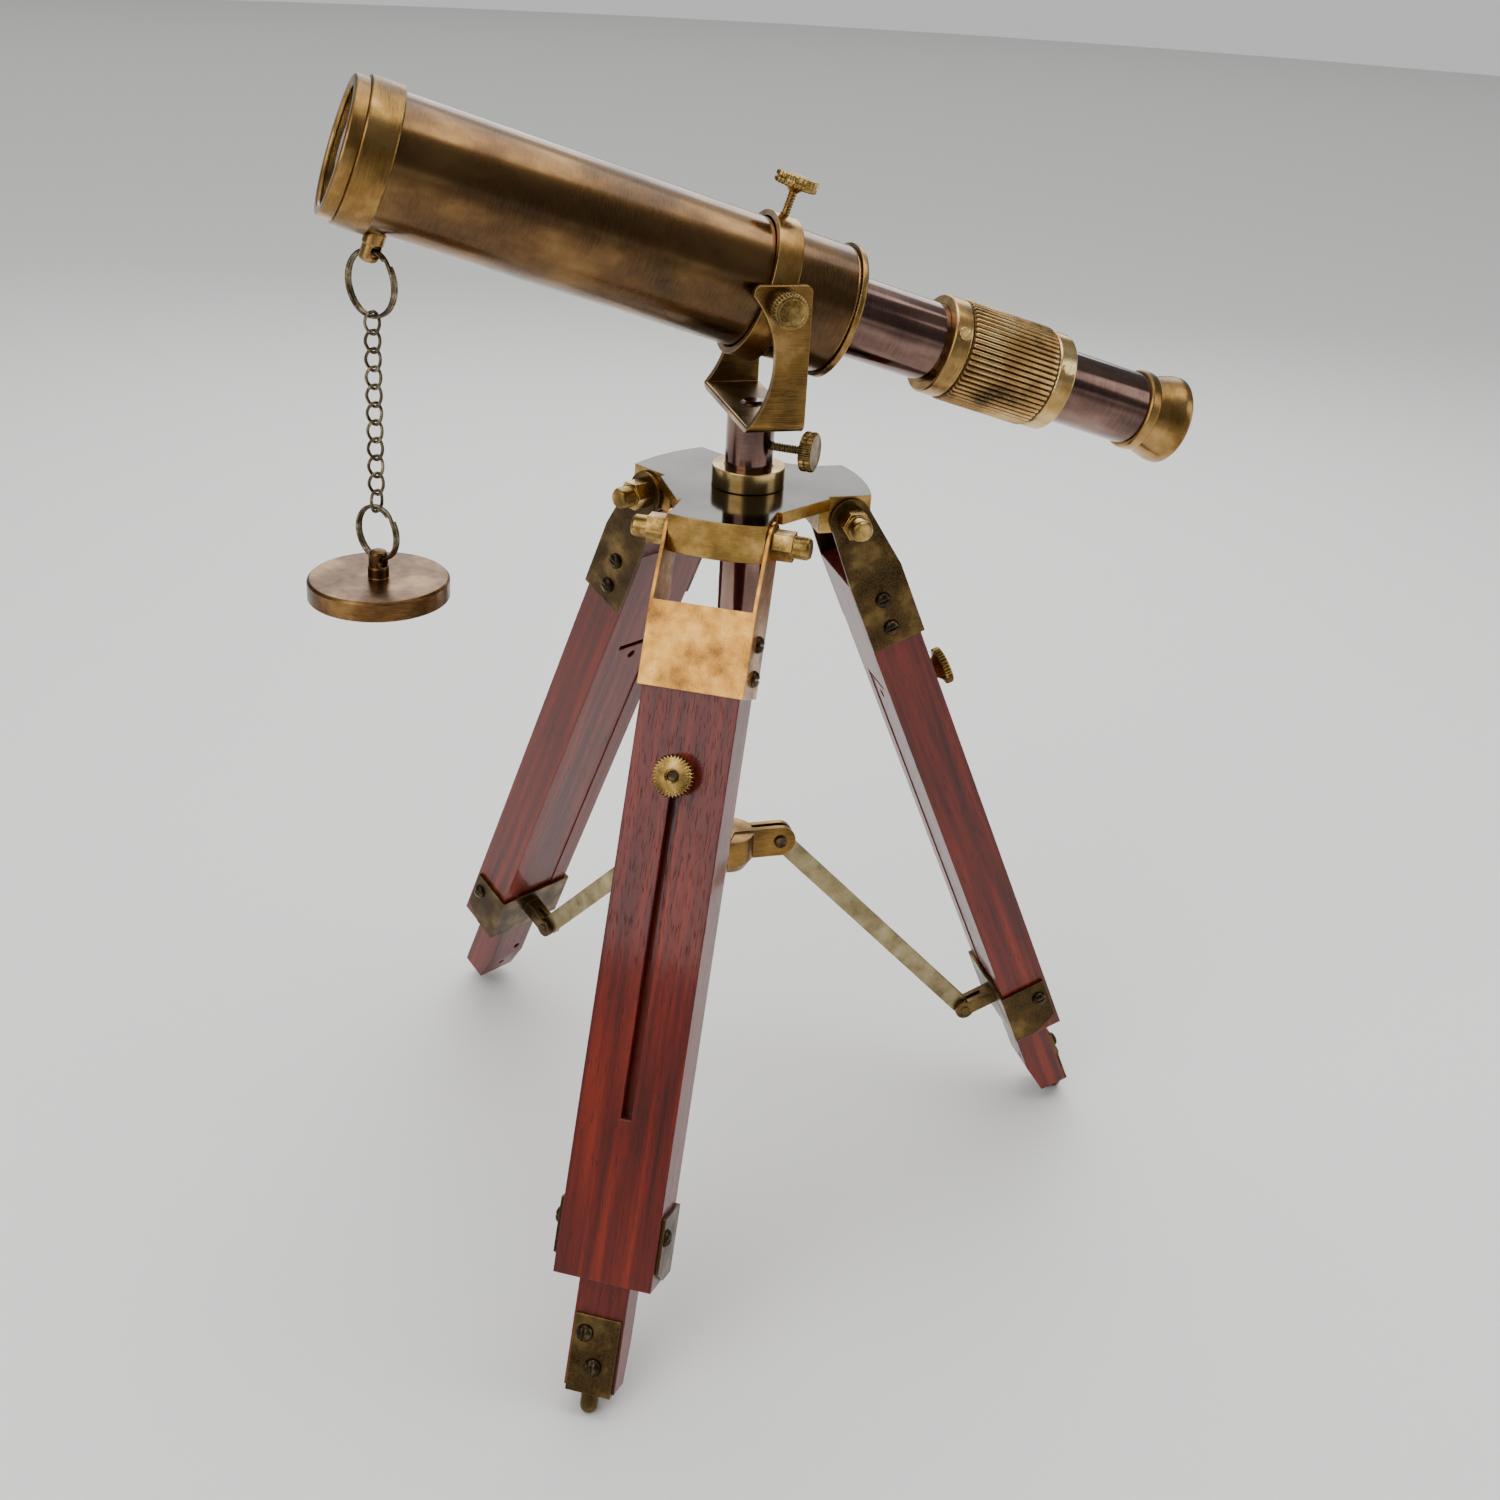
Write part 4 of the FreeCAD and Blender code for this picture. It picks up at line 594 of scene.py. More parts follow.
@dataclass(frozen=True)
class AgedBrass:
    """Brass, aged: cloudy stains in the patina, brush or lathe lines, and edges rubbed bright.

    The three shades are the deepest patina, the usual one and bare rubbed metal. Sizes are the
    size of each mark, along the piece's own x, y and z. Real brush and lathe lines are finer than
    can show, so they are drawn as coarse as they need to be.
    """

    name: str
    shades: tuple[str, str, str]
    cloud: tuple[float, float, float] = (14.0, 14.0, 14.0)
    brush: tuple[float, float, float] = (0.5, 0.5, 0.5)
    brush_depth: float = 0.004
    rough: tuple[float, float] = (0.24, 0.42)
    specks: float = 0.3
    speck_size: float = 0.7
    edge: float = 0.35
    rub: float = 0.8
    lacquer: float = 0.0
    crest: Optional[tuple[float, float]] = None

    def make(self, place: Matrix = Matrix.Identity(4)) -> bpy.types.Material:
        """Makes the finish for a piece.

        Args:
            place: The piece's own frame, which lines and clouds follow.

        Returns:
            The material.
        """
        material = bpy.data.materials.new(self.name)
        material.use_nodes = True
        tree = material.node_tree
        tree.nodes.clear()
        spot = add(tree, "ShaderNodeTexCoord").outputs["Object"]
        clouds = marks(tree, spot, place, self.cloud, 4.0)
        lines = marks(tree, spot, place, self.brush, 2.0)
        specks = marks(tree, spot, place, (self.speck_size,) * 3, 3.0)
        deep, usual, bare = [linear(shade) for shade in self.shades]
        base = add(tree, "ShaderNodeValToRGB", {"stops": [
            (0.34, deep), (0.5, usual), (0.74, bare)]}, {0: clouds})
        fleck = add(tree, "ShaderNodeValToRGB", {"stops": [
            (0.62, grey(0.0)), (0.72, grey(self.specks))]}, {0: specks})
        flecked = add(tree, "ShaderNodeMix", {"data_type": "RGBA"}, {
            0: fleck.outputs[0], 6: base.outputs[0], 7: deep}).outputs[2]
        streak = add(tree, "ShaderNodeMapRange", inputs={
            "Value": lines, "From Min": 0.35, "From Max": 0.65, "To Min": 0.0, "To Max": 0.22})
        streaked = add(tree, "ShaderNodeMix", {"data_type": "RGBA"}, {
            0: streak.outputs[0], 6: flecked, 7: bare}).outputs[2]
        eased = add(tree, "ShaderNodeBevel", {"samples": 4}, {"Radius": self.edge * MM})
        true = add(tree, "ShaderNodeNewGeometry").outputs["Normal"]
        bend = add(tree, "ShaderNodeVectorMath", {"operation": "DOT_PRODUCT"},
                   {0: eased.outputs[0], 1: true})
        worn = add(tree, "ShaderNodeMapRange", inputs={
            "Value": bend.outputs["Value"], "From Min": 0.985, "From Max": 0.86,
            "To Min": 0.0, "To Max": self.rub})
        colour = add(tree, "ShaderNodeMix", {"data_type": "RGBA"}, {
            0: worn.outputs[0], 6: streaked, 7: bare}).outputs[2]
        if self.crest:
            colour = self.dirty_hollows(tree, spot, place, colour, deep)
        rough = add(tree, "ShaderNodeMapRange", inputs={
            "Value": clouds, "From Min": 0.35, "From Max": 0.65,
            "To Min": self.rough[1], "To Max": self.rough[0]})
        bump = add(tree, "ShaderNodeBump", inputs={
            "Strength": 1.0, "Distance": self.brush_depth * MM, "Height": lines,
            "Normal": eased.outputs[0]})
        shader = add(tree, "ShaderNodeBsdfPrincipled", inputs={
            "Base Color": colour, "Metallic": 1.0, "Roughness": rough.outputs[0],
            "Normal": bump.outputs[0], "Coat Weight": self.lacquer, "Coat Roughness": 0.12})
        add(tree, "ShaderNodeOutputMaterial", inputs={0: shader.outputs[0]})
        return material

    def dirty_hollows(self, tree: bpy.types.NodeTree, spot: bpy.types.NodeSocket, place: Matrix,
                      colour: bpy.types.NodeSocket, deep: tuple) -> bpy.types.NodeSocket:
        """Leaves old polish between ribs: dark at the crest's lower radius, clean at its upper.

        Args:
            tree: The finish's tree.
            spot: Where on the piece, in object coordinates.
            place: The piece's own frame.
            colour: The colour of the clean metal.
            deep: The colour of the old polish.

        Returns:
            The colour with the hollows darkened.
        """
        local = add(tree, "ShaderNodeMapping", {"vector_type": "TEXTURE"}, {
            "Vector": spot, "Location": place.translation, "Rotation": place.to_euler(),
            "Scale": Vector((MM, MM, MM))})
        flat = add(tree, "ShaderNodeVectorMath", {"operation": "MULTIPLY"},
                   {0: local.outputs[0], 1: Vector((1, 1, 0))})
        radius = add(tree, "ShaderNodeVectorMath", {"operation": "LENGTH"}, {0: flat.outputs[0]})
        depth = add(tree, "ShaderNodeMapRange", inputs={
            "Value": radius.outputs["Value"], "From Min": self.crest[1],
            "From Max": self.crest[0], "To Min": 0.0, "To Max": 0.92})
        return add(tree, "ShaderNodeMix", {"data_type": "RGBA"}, {
            0: depth.outputs[0], 6: colour, 7: deep}).outputs[2]


@dataclass(frozen=True)
class LacqueredMahogany:
    """Mahogany, stained red and lacquered: fine open pores under a clear mirror-like coat."""

    name: str = "Lacquered mahogany"
    shades: tuple[str, str, str] = ("#280501", "#611304", "#8e2a0b")
    grain: tuple[float, float, float] = (2.6, 2.6, 55.0)
    pore: tuple[float, float, float] = (0.34, 0.34, 4.5)
    pore_depth: float = 0.05
    ripple: tuple[float, float, float] = (3.5, 3.5, 16.0)
    ripple_depth: float = 0.03

    def make(self, place: Matrix) -> bpy.types.Material:
        """Makes the wood for one leg.

        Args:
            place: The leg's own frame, whose z axis the grain follows.

        Returns:
            The material.
        """
        material = bpy.data.materials.new(self.name)
        material.use_nodes = True
        tree = material.node_tree
        tree.nodes.clear()
        spot = add(tree, "ShaderNodeTexCoord").outputs["Object"]
        bands = marks(tree, spot, place, self.grain, 4.0)
        pores = marks(tree, spot, place, self.pore, 1.0)
        ripples = marks(tree, spot, place, self.ripple, 2.0)
        base = add(tree, "ShaderNodeValToRGB", {"stops": [
            (0.2, linear(self.shades[0])), (0.48, linear(self.shades[1])),
            (0.8, linear(self.shades[2]))]}, {0: bands})
        open_pore = add(tree, "ShaderNodeMapRange", inputs={
            "Value": pores, "From Min": 0.6, "From Max": 0.7, "To Min": 0.0, "To Max": 0.7})
        colour = add(tree, "ShaderNodeMix", {"data_type": "RGBA"}, {
            0: open_pore.outputs[0], 6: base.outputs[0], 7: linear(self.shades[0])})
        sunk = add(tree, "ShaderNodeMath", {"operation": "MULTIPLY"},
                   {0: open_pore.outputs[0], 1: -1.0})
        eased = add(tree, "ShaderNodeBevel", {"samples": 4}, {"Radius": 0.6 * MM})
        rippled = add(tree, "ShaderNodeBump", inputs={
            "Strength": 1.0, "Distance": self.ripple_depth * MM, "Height": ripples,
            "Normal": eased.outputs[0]})
        surface = add(tree, "ShaderNodeBump", inputs={
            "Strength": 1.0, "Distance": self.pore_depth * MM, "Height": sunk.outputs[0],
            "Normal": rippled.outputs[0]})
        shader = add(tree, "ShaderNodeBsdfPrincipled", inputs={
            "Base Color": colour.outputs[2], "Roughness": 0.45,
            "Specular IOR Level": 0.25, "Normal": surface.outputs[0],
            "Coat Weight": 0.42, "Coat Roughness": 0.08, "Coat IOR": 1.5,
            "Coat Normal": surface.outputs[0]})
        add(tree, "ShaderNodeOutputMaterial", inputs={0: shader.outputs[0]})
        return material


def optical_glass() -> bpy.types.Material:
    """Optical glass, polished: clear, with a faint green tint in its edge.

    Returns:
        The material.
    """
    material = bpy.data.materials.new("Optical glass, polished")
    material.use_nodes = True
    shader = material.node_tree.nodes["Principled BSDF"]
    shader.inputs["Base Color"].default_value = linear("#eef6f2")
    shader.inputs["Roughness"].default_value = 0.01
    shader.inputs["IOR"].default_value = 1.52
    shader.inputs["Transmission Weight"].default_value = 1.0
    return material


def flat_black() -> bpy.types.Material:
    """Lamp-black paint, brushed inside tubes: dead matt, with a faint uneven sheen.

    Returns:
        The material.
    """
    material = bpy.data.materials.new("Lamp-black paint")
    material.use_nodes = True
    tree = material.node_tree
    tree.nodes.clear()
    spot = add(tree, "ShaderNodeTexCoord").outputs["Object"]
    noise = add(tree, "ShaderNodeTexNoise", inputs={"Vector": spot, "Scale": 900.0})
    rough = add(tree, "ShaderNodeMapRange", inputs={
        "Value": noise.outputs[0], "To Min": 0.65, "To Max": 0.95})
    shader = add(tree, "ShaderNodeBsdfPrincipled", inputs={
        "Base Color": linear("#0b0a09"), "Roughness": rough.outputs[0]})
    add(tree, "ShaderNodeOutputMaterial", inputs={0: shader.outputs[0]})
    return material


# Chemically bronzed tube under old lacquer: large brown and tan clouds, and a long soft highlight.
TUBE_BRONZE = AgedBrass("Bronzed brass tube", ("#2b1c0c", "#54391b", "#8d6b3c"),
                        cloud=(16, 16, 26), brush=(3.0, 3.0, 0.12), rough=(0.18, 0.36),
                        specks=0.45, lacquer=0.35, rub=0.5)
# Lathe-turned collar gone satin: fine rings round it break its highlight into a brushed glow.
COLLAR_BRASS = AgedBrass("Antique brass, satin", ("#493416", "#7a5a2c", "#c09c64"),
                         brush=(4.0, 4.0, 0.12), rough=(0.22, 0.36))
# Smoked plating over a polished draw tube: plum-brown, and it mirrors the room in hard streaks.
DRAW_BRASS = AgedBrass("Smoked brass, polished", ("#34201d", "#5a3e36", "#957768"),
                       cloud=(9, 9, 30), brush=(6.0, 6.0, 0.2), brush_depth=0.001,
                       rough=(0.1, 0.2), specks=0.25, lacquer=0.5, rub=0.5)
# Bare ribs with old polish between them: bright crests over dark hollows.
KNURL_BRASS = AgedBrass("Bare brass, ribbed", ("#38240f", "#b08850", "#e6cb94"),
                        rough=(0.22, 0.36), specks=0.3, rub=0.3, crest=(12.75, 13.4))
# Bare brass kept bright by handling: warm gold, with clear turned rings.
FOCUS_BRASS = AgedBrass("Bare brass, turned", ("#6d4f24", "#a98246", "#ecd29a"),
                        brush=(4.0, 4.0, 0.12), rough=(0.18, 0.3))
# Thick plate, darkened and polished on top: a dark grey mirror that shows the collar over it.
PLATE_BRASS = AgedBrass("Brass plate, darkened and polished", ("#25221e", "#37342f", "#4f493c"),
                        cloud=(30, 30, 30), brush=(5.0, 0.3, 0.3), brush_depth=0.001,
                        rough=(0.08, 0.18), specks=0.15, rub=0.9)
# The plate's filed rim, bare of the dark plating: a golden band with lines along it.
RIM_BRASS = AgedBrass("Brass rim, filed", ("#5b431b", "#8a6a33", "#c9a566"),
                      cloud=(9, 9, 9), brush=(3.0, 3.0, 0.15), rough=(0.2, 0.34))
# Yellow strap under stained lacquer: rusty and pale gold patches under a soft shine. Only the front
# strap gets it, and its light gold is partly painted light, where that strap catches the light.
STRAP_GOLD_PAINTED_LIGHT = AgedBrass("Lacquered brass strap, stained", ("#7d4c12", "#b57a2b", "#dcae55"),
                       cloud=(9, 9, 9), rough=(0.22, 0.42), specks=0.5, speck_size=1.2,
                       lacquer=0.3)
# Strap brass painted an almost flat brown as painted shade: the side legs' straps and the brackets
# are the same brass as the front strap, darker where they lie in shade, and the feet take the same
# brown. Its edges are worn to yellow.
STRAP_BROWN_PAINTED_SHADE = AgedBrass("Brass strap, browned", ("#2c2116", "#43331f", "#80693f"),
                       cloud=(9, 9, 9), rough=(0.26, 0.44), specks=0.35)
# Pale stamped link: dull, with small dark pits.
BRACE_BRASS = AgedBrass("Pale brass, dull and pitted", ("#75684a", "#948562", "#b2a47e"),
                        cloud=(7, 7, 7), rough=(0.34, 0.55), specks=0.6, speck_size=0.5)
# Knurled knob: toothed rim and turned face, brown in its grooves and bright on its teeth.
KNOB_BRASS = AgedBrass("Knurled brass", ("#3c2b0f", "#80622c", "#d2b272"),
                       cloud=(5, 5, 5), brush=(0.2, 0.2, 2.0), rough=(0.22, 0.34), edge=0.2,
                       rub=1.0)
# Flat knob face, browned: the dull bronze disc of the two pivot screws.
PIVOT_BRASS = AgedBrass("Knurled brass, browned", ("#2f2411", "#5f4a25", "#c9a868"),
                        cloud=(6, 6, 6), rough=(0.28, 0.4), edge=0.2, rub=1.0)
# Screw head, blackened: nearly black, with a glint on its rim.
BLACK_BRASS = AgedBrass("Blackened brass screw", ("#14100c", "#2c241c", "#6b5a40"),
                        cloud=(3, 3, 3), rough=(0.26, 0.42), specks=0.2)
# Drawn wire, darkened: grey-brown, with small bright highlights on every bend.
WIRE_BRASS = AgedBrass("Darkened wire", ("#201a13", "#4d4334", "#a99a7a"),
                       cloud=(2.2, 2.2, 2.2), rough=(0.22, 0.38), specks=0.3)
# Turned cap, browned: circular lines on its top, gold on its rim.
CAP_BRASS = AgedBrass("Cap brass, browned", ("#3d2815", "#563a20", "#a98452"),
                      cloud=(16, 16, 16), brush=(2.5, 2.5, 0.15), rough=(0.24, 0.36), specks=0.3)


# ---- Sub-assemblies -----------------------------------------------------------------------


@dataclass
class Thumbscrew:
    """A thumbscrew: threaded shank, a short cone, and a disc head with two rows of teeth."""

    node: str
    screw_joint: str
    shank: float
    head: float
    head_length: float
    shoulder: float
    teeth: int
    neck: float = 2.6
    pitch: float = 0.7
    cut: float = 0.42
    bevel: float = 0.5
    groove: float = 0.4
    groove_floor: float = 0.1
    groove_mouth: float = 0.3
    lip: float = 1.1
    dish: float = 0.12
    metal: AgedBrass = KNOB_BRASS

    def build(self) -> None:
        """Turns, knurls and threads the screw, and hangs it on its body."""
        origin, along = joint(self.screw_joint)
        place = axes(origin, along, UP if abs(along.z) < 0.9 else Vector((1, 0, 0)))
        low, high = spans(self.node, place)
        top = high.z
        seat = top - self.head_length
        half = seat + self.head_length * 0.5
        rim = self.head
        cut = self.cut
        head = turned([
            (0.0, seat - self.shoulder), (self.shank, seat - self.shoulder),
            (self.neck, seat), (rim - self.bevel, seat, cut * 0.3), (rim - 0.08, seat + 0.25, cut),
            (rim, seat + 0.45, cut), (rim, half - self.groove_mouth, cut),
            (rim - self.groove, half - self.groove_floor),
            (rim - self.groove, half + self.groove_floor), (rim, half + self.groove_mouth, cut),
            (rim, top - self.bevel, cut), (rim - 0.1, top - 0.25, cut * 0.8),
            (rim - self.bevel, top), (rim - self.lip, top), (rim - self.lip - 0.2, top - self.dish),
            (0.0, top - self.dish)], self.teeth * 6, self.teeth)
        rod = threaded(self.shank, self.pitch, low.z, seat - self.shoulder + 0.2)
        mesh = to_mesh(self.node, merged([head, rod]), place, 30.0)
        show(f"{self.node}_knurled", mesh, self.node, self.metal.make(place), (self.node,))


@dataclass
class OpticalTube:
    """The main tube with its collars, objective and the stud that the cap hangs from."""

    place: Matrix
    black: bpy.types.Material = field(default_factory=flat_black)

    def blacken(self, mesh: bpy.types.Mesh) -> None:
        """Paints the faces that look towards the tube's axis.

        Args:
            mesh: The tube's mesh.
        """
        mesh.materials.append(self.black)
        back = self.place.inverted()
        turn = back.to_3x3()
        for face in mesh.polygons:
            local = back @ face.center
            out = Vector((local.x, local.y, 0.0)).normalized()
            if (turn @ face.normal).dot(out) < -0.5:
                face.material_index = 1

    def build(self) -> None:
        """Dresses every piece of the tube."""
        softened("main_tube", TUBE_BRONZE.make(self.place), 0.12, self.blacken)
        for node in ("tube_end_ring", "objective_collar", "objective_bezel"):
            softened(node, COLLAR_BRASS.make(self.place), 0.2)
        softened("objective_lens", optical_glass(), 0.05)
        softened("cap_chain_stud", COLLAR_BRASS.make(self.place), 0.12)


@dataclass
class DrawTube:
    """The draw tube, the ribbed focusing sleeve between its collars, and the eyepiece."""

    place: Matrix
    ribs: int = 56
    rib_radius: float = 0.6
    rib_stop: float = 0.25
    rib_bed: float = 1.15
    wall: float = 3.05
    core_steps: int = 112
    recess_depth: float = 1.3
    recess_length: float = 13.0

    def build(self, ring_tree: bpy.types.NodeTree) -> None:
        """Dresses the tubes and makes the sleeve.

        Args:
            ring_tree: The tree that stands copies in a ring.
        """
        for node in ("draw_tube", "eyepiece_tube", "erector_cell"):
            softened(node, DRAW_BRASS.make(self.place), 0.08)
        for node in ("focus_front_collar", "focus_rear_collar"):
            softened(node, FOCUS_BRASS.make(self.place), 0.2)
        for node in ("eyepiece_ring", "eye_cup"):
            softened(node, COLLAR_BRASS.make(self.place), 0.2)
        softened("focus_collar_screws", FOCUS_BRASS.make(self.place), 0.06)
        for node in ("eyepiece_lenses", "erector_lens"):
            softened(node, optical_glass(), 0.05)
        self.sleeve(ring_tree)

    def sleeve(self, ring_tree: bpy.types.NodeTree) -> None:
        """Makes the sleeve: a turned core with straight round ribs all round it."""
        low, high = spans("focus_sleeve", self.place)
        outer = high.y
        core = outer - self.rib_radius * self.rib_bed
        bore = outer - self.wall
        finish = KNURL_BRASS.make(self.place)
        middle = (low.z + high.z) / 2
        half = (high.z - low.z) / 2
        recess = bore + self.recess_depth
        reach = self.recess_length / 2
        profile = [(bore, low.z), (core, low.z), (core, high.z), (bore, high.z),
                   (bore, middle + reach), (recess, middle + reach), (recess, middle - reach),
                   (bore, middle - reach), (bore, low.z)]
        tube = turned(profile, self.core_steps)
        straight = half - self.rib_stop - self.rib_radius
        arcs = [math.pi / 2 * step / 3 for step in range(4)]
        rows = [(self.rib_radius * math.sin(arc), -straight - self.rib_radius * math.cos(arc))
                for arc in arcs]
        rows += [(self.rib_radius * math.cos(arc), straight + self.rib_radius * math.sin(arc))
                 for arc in arcs]
        rib = turned(rows, 10)
        ribs = repeated(rib, ring_tree, {"Count": self.ribs, "Radius": outer - self.rib_radius},
                        finish)
        bmesh.ops.translate(ribs, verts=ribs.verts, vec=Vector((0, 0, middle)))
        mesh = to_mesh("focus_sleeve", merged([tube, ribs]), self.place, 50.0)
        mesh.materials.clear()
        show("focus_sleeve_ribbed", mesh, "focus_sleeve", finish, ("focus_sleeve",))


@dataclass
class CapAndChain:
    """The cap, the curb chain it hangs by and the split rings at the chain's ends."""

    wire: float = 0.5
    spread: float = 0.45
    link_wire: float = 0.43
    link_length: float = 4.59
    link_width: float = 2.6
    pitch: float = 4.47
    upper_radius: float = 7.9
    lower_radius: float = 6.75
    ring_steps: int = 150
    ring_start: float = 0.9
    ring_gap: float = 0.25
    ring_jog: float = 0.3
    link_steps: int = 32
    link_fullness: float = 0.7

    def __post_init__(self) -> None:
        """Reads where the chain hangs and which way its rings face."""
        self.top = joint("ring_hang")[0]
        self.across = joint("chain_swing")[1]

    def split_ring(self, centre: Vector, radius: float) -> bmesh.types.BMesh:
        """Winds wire twice round a ring's centre, with a jog where the turns change over.

        Args:
            centre: The ring's centre, in local millimetres.
            radius: The radius of the wire's middle line.

        Returns:
            The ring.
        """
        total = 4 * math.pi - self.ring_gap
        path = []
        for step in range(self.ring_steps + 1):
            angle = total * step / self.ring_steps
            shift = self.spread * math.tanh((angle - total / 2) / self.ring_jog)
            path.append(centre + Vector((radius * math.cos(angle + self.ring_start), shift,
                                         radius * math.sin(angle + self.ring_start))))
        return wire_along(path, self.wire, False, 12)

    def link(self, facing: float, twist: float) -> bmesh.types.BMesh:
        """Bends one link and twists its ends.

        Args:
            facing: Which way its middle lies, in degrees round the chain.
            twist: How far each end turns from its middle, in degrees.

        Returns:
            The link, its middle at the origin.
        """
        half = self.link_length / 2 + self.link_wire
        bend = self.link_width / 2 + self.link_wire
        path = []
        for step in range(self.link_steps):
            angle = math.tau * step / self.link_steps
            height = half * math.sin(angle)
            width = bend * math.copysign(
                abs(math.cos(angle)) ** self.link_fullness, math.cos(angle))
            turn = math.radians(facing + twist * math.sin(angle))
            path.append(Vector((width * math.cos(turn), width * math.sin(turn), height)))
        return wire_along(path, self.link_wire, True, 8)

    def build(self, row_tree: bpy.types.NodeTree) -> None:
        """Makes both rings, the links and the cap's finish.

        The links are twisted by an eighth of a turn each way, so that every end meets the next
        one squarely. The last is flat, for the lower ring to pass through it.

        Args:
            row_tree: The tree that hangs copies in a row.
        """
        place = axes(self.top, UP, self.across)
        low, high = spans("cap_chain", place)
        finish = WIRE_BRASS.make(place)
        upper = self.split_ring(Vector((0, 0, -self.upper_radius)), self.upper_radius)
        show("upper_ring_wound", to_mesh("upper_ring", upper, place, 60.0), "upper_ring", finish,
             ("upper_ring",))
        lowest = low.z + self.wire
        lower = self.split_ring(Vector((0, 0, lowest + self.lower_radius)), self.lower_radius)
        first = high.z - 2 * self.link_wire - self.link_length / 2
        links = repeated(self.link(45, 45), row_tree,
                         {"Count": CHAIN_LINKS - 1, "Pitch": self.pitch}, finish)
        bmesh.ops.translate(links, verts=links.verts, vec=Vector((0, 0, first)))
        last = self.link(90, 0)
        bmesh.ops.translate(last, verts=last.verts,
                            vec=Vector((0, 0, first - (CHAIN_LINKS - 1) * self.pitch)))
        mesh = to_mesh("cap_chain", merged([links, last, lower]), place, 60.0)
        mesh.materials.clear()
        show("cap_chain_linked", mesh, "cap_chain", finish, ("cap_chain",))
        softened("lens_cap", CAP_BRASS.make(place), 0.22)


@dataclass
class CradleAndYoke:
    """The ring that holds the tube, the bent yoke under it and their screws."""

    place: Matrix

    def build(self) -> None:
        """Dresses the ring and yoke, and makes the three screws."""
        softened("cradle_ring", COLLAR_BRASS.make(self.place), 0.22)
        softened("yoke", COLLAR_BRASS.make(axes(Vector(), UP, Vector((1, 0, 0)))), 0.25)
        softened("yoke_stem", DRAW_BRASS.make(), 0.15)
        Thumbscrew("clamp_thumbscrew", "clamp_screw_turn", 1.2, 5.5, 3.0, 1.2, 26).build()
        for side in ("near", "far"):
            Thumbscrew(f"{side}_pivot_thumbscrew", f"{side}_pivot_screw_turn",
                       1.5, 4.4, 4.2, 1.2, 34, cut=0.35, metal=PIVOT_BRASS).build()


@dataclass
class TripodHead:
    """The polished head plate, the column through it and the bolts that the legs fold on."""

    polished: bpy.types.Material = field(default_factory=PLATE_BRASS.make)

    def polish(self, mesh: bpy.types.Mesh) -> None:
        """Darkens and polishes the faces that look straight up.

        Args:
            mesh: The plate's mesh.
        """
        mesh.materials.append(self.polished)
        for face in mesh.polygons:
            if face.normal.z > 0.9:
                face.material_index = 1

    def build(self) -> None:
        """Dresses the head and makes the column's screw."""
        softened("top_plate", RIM_BRASS.make(), 0.35, self.polish)
        softened("column", DRAW_BRASS.make(), 0.15)
        softened("column_collar", FOCUS_BRASS.make(), 0.3)
        softened("leg_pivot_bolts", KNOB_BRASS.make(), 0.2)
        Thumbscrew("column_thumbscrew", "column_screw_turn",
                   1.2, 5.2, 3.4, 1.2, 26, cut=0.5, metal=PIVOT_BRASS).build()


@dataclass
class Leg:
    """One leg: channelled outer leg, sliding inner leg, its metal fittings and thumb nut."""

    name: LegName
    teeth: int = 34
    nut_radius: float = 5.4
    nut_neck: float = 2.3
    hole: float = 1.3
    flange: float = 2.4
    tooth: float = 0.7

    def frame(self) -> Matrix:
        """Finds the leg's own frame.

        Returns:
            The frame, its z axis up the leg and its x axis out of the leg's face.
        """
        origin, fold = joint(f"{self.name.value}_leg_fold")
        down = joint(f"{self.name.value}_leg_extend")[1]
        return axes(origin, -down, fold.cross(-down))

    def build(self) -> None:
        """Dresses the leg's pieces and makes its nut."""
        name = self.name.value
        place = self.frame()
        wood = LacqueredMahogany().make(place)
        softened(f"{name}_outer_leg", wood, 0.4)
        softened(f"{name}_inner_leg", wood, 0.3)
        # Painted light and shade: the front strap gets the lit gold and the side straps the dark
        # brown, though all three are one brass.
        strap = STRAP_GOLD_PAINTED_LIGHT if self.name is LegName.FRONT else STRAP_BROWN_PAINTED_SHADE
        softened(f"{name}_leg_strap", strap.make(place), 0.15)
        softened(f"{name}_leg_bracket", STRAP_BROWN_PAINTED_SHADE.make(place), 0.15)
        softened(f"{name}_foot", STRAP_BROWN_PAINTED_SHADE.make(place), 0.12)
        softened(f"{name}_brace", BRACE_BRASS.make(place), 0.15)
        softened(f"{name}_leg_screws", BLACK_BRASS.make(place), 0.08)
        softened(f"{name}_inner_leg_fixings", BLACK_BRASS.make(place), 0.08)
        self.nut()

    def nut(self) -> None:
        """Turns the thumb nut: a hollow cone that opens to a toothed flange."""
        node = f"{self.name.value}_leg_nut"
        origin, along = joint(f"{self.name.value}_nut_turn")
        place = axes(origin, along, UP)
        low, high = spans(node, place)
        base = low.z
        top = high.z
        rim = self.nut_radius
        flange = top - self.flange
        cone = [(self.nut_neck + (rim - 1.0 - self.nut_neck) * (step / 6) ** 2.2,
                 base + 0.9 + (flange - base - 0.9) * step / 6) for step in range(7)]
        profile = [(self.hole, base), (self.nut_neck, base), *cone,
                   (rim - 0.2, flange + 0.1, 0.6), (rim, flange + 0.4, self.tooth),
                   (rim, top - 0.6, self.tooth), (rim - 0.35, top - 0.15, 0.6), (rim - 1.5, top),
                   (self.hole + 0.6, top), (self.hole, top - 0.5), (self.hole, base)]
        mesh = to_mesh(node, turned(profile, self.teeth * 6, self.teeth), place, 30.0)
        show(f"{node}_toothed", mesh, node, KNOB_BRASS.make(place), (node,))


@dataclass
class Spreader:
    """The floating hub that the three braces meet in."""

    def build(self) -> None:
        """Dresses the hub and its pins."""
        softened("spreader_hub", COLLAR_BRASS.make(), 0.2)
        softened("hub_pins", BLACK_BRASS.make(), 0.08)


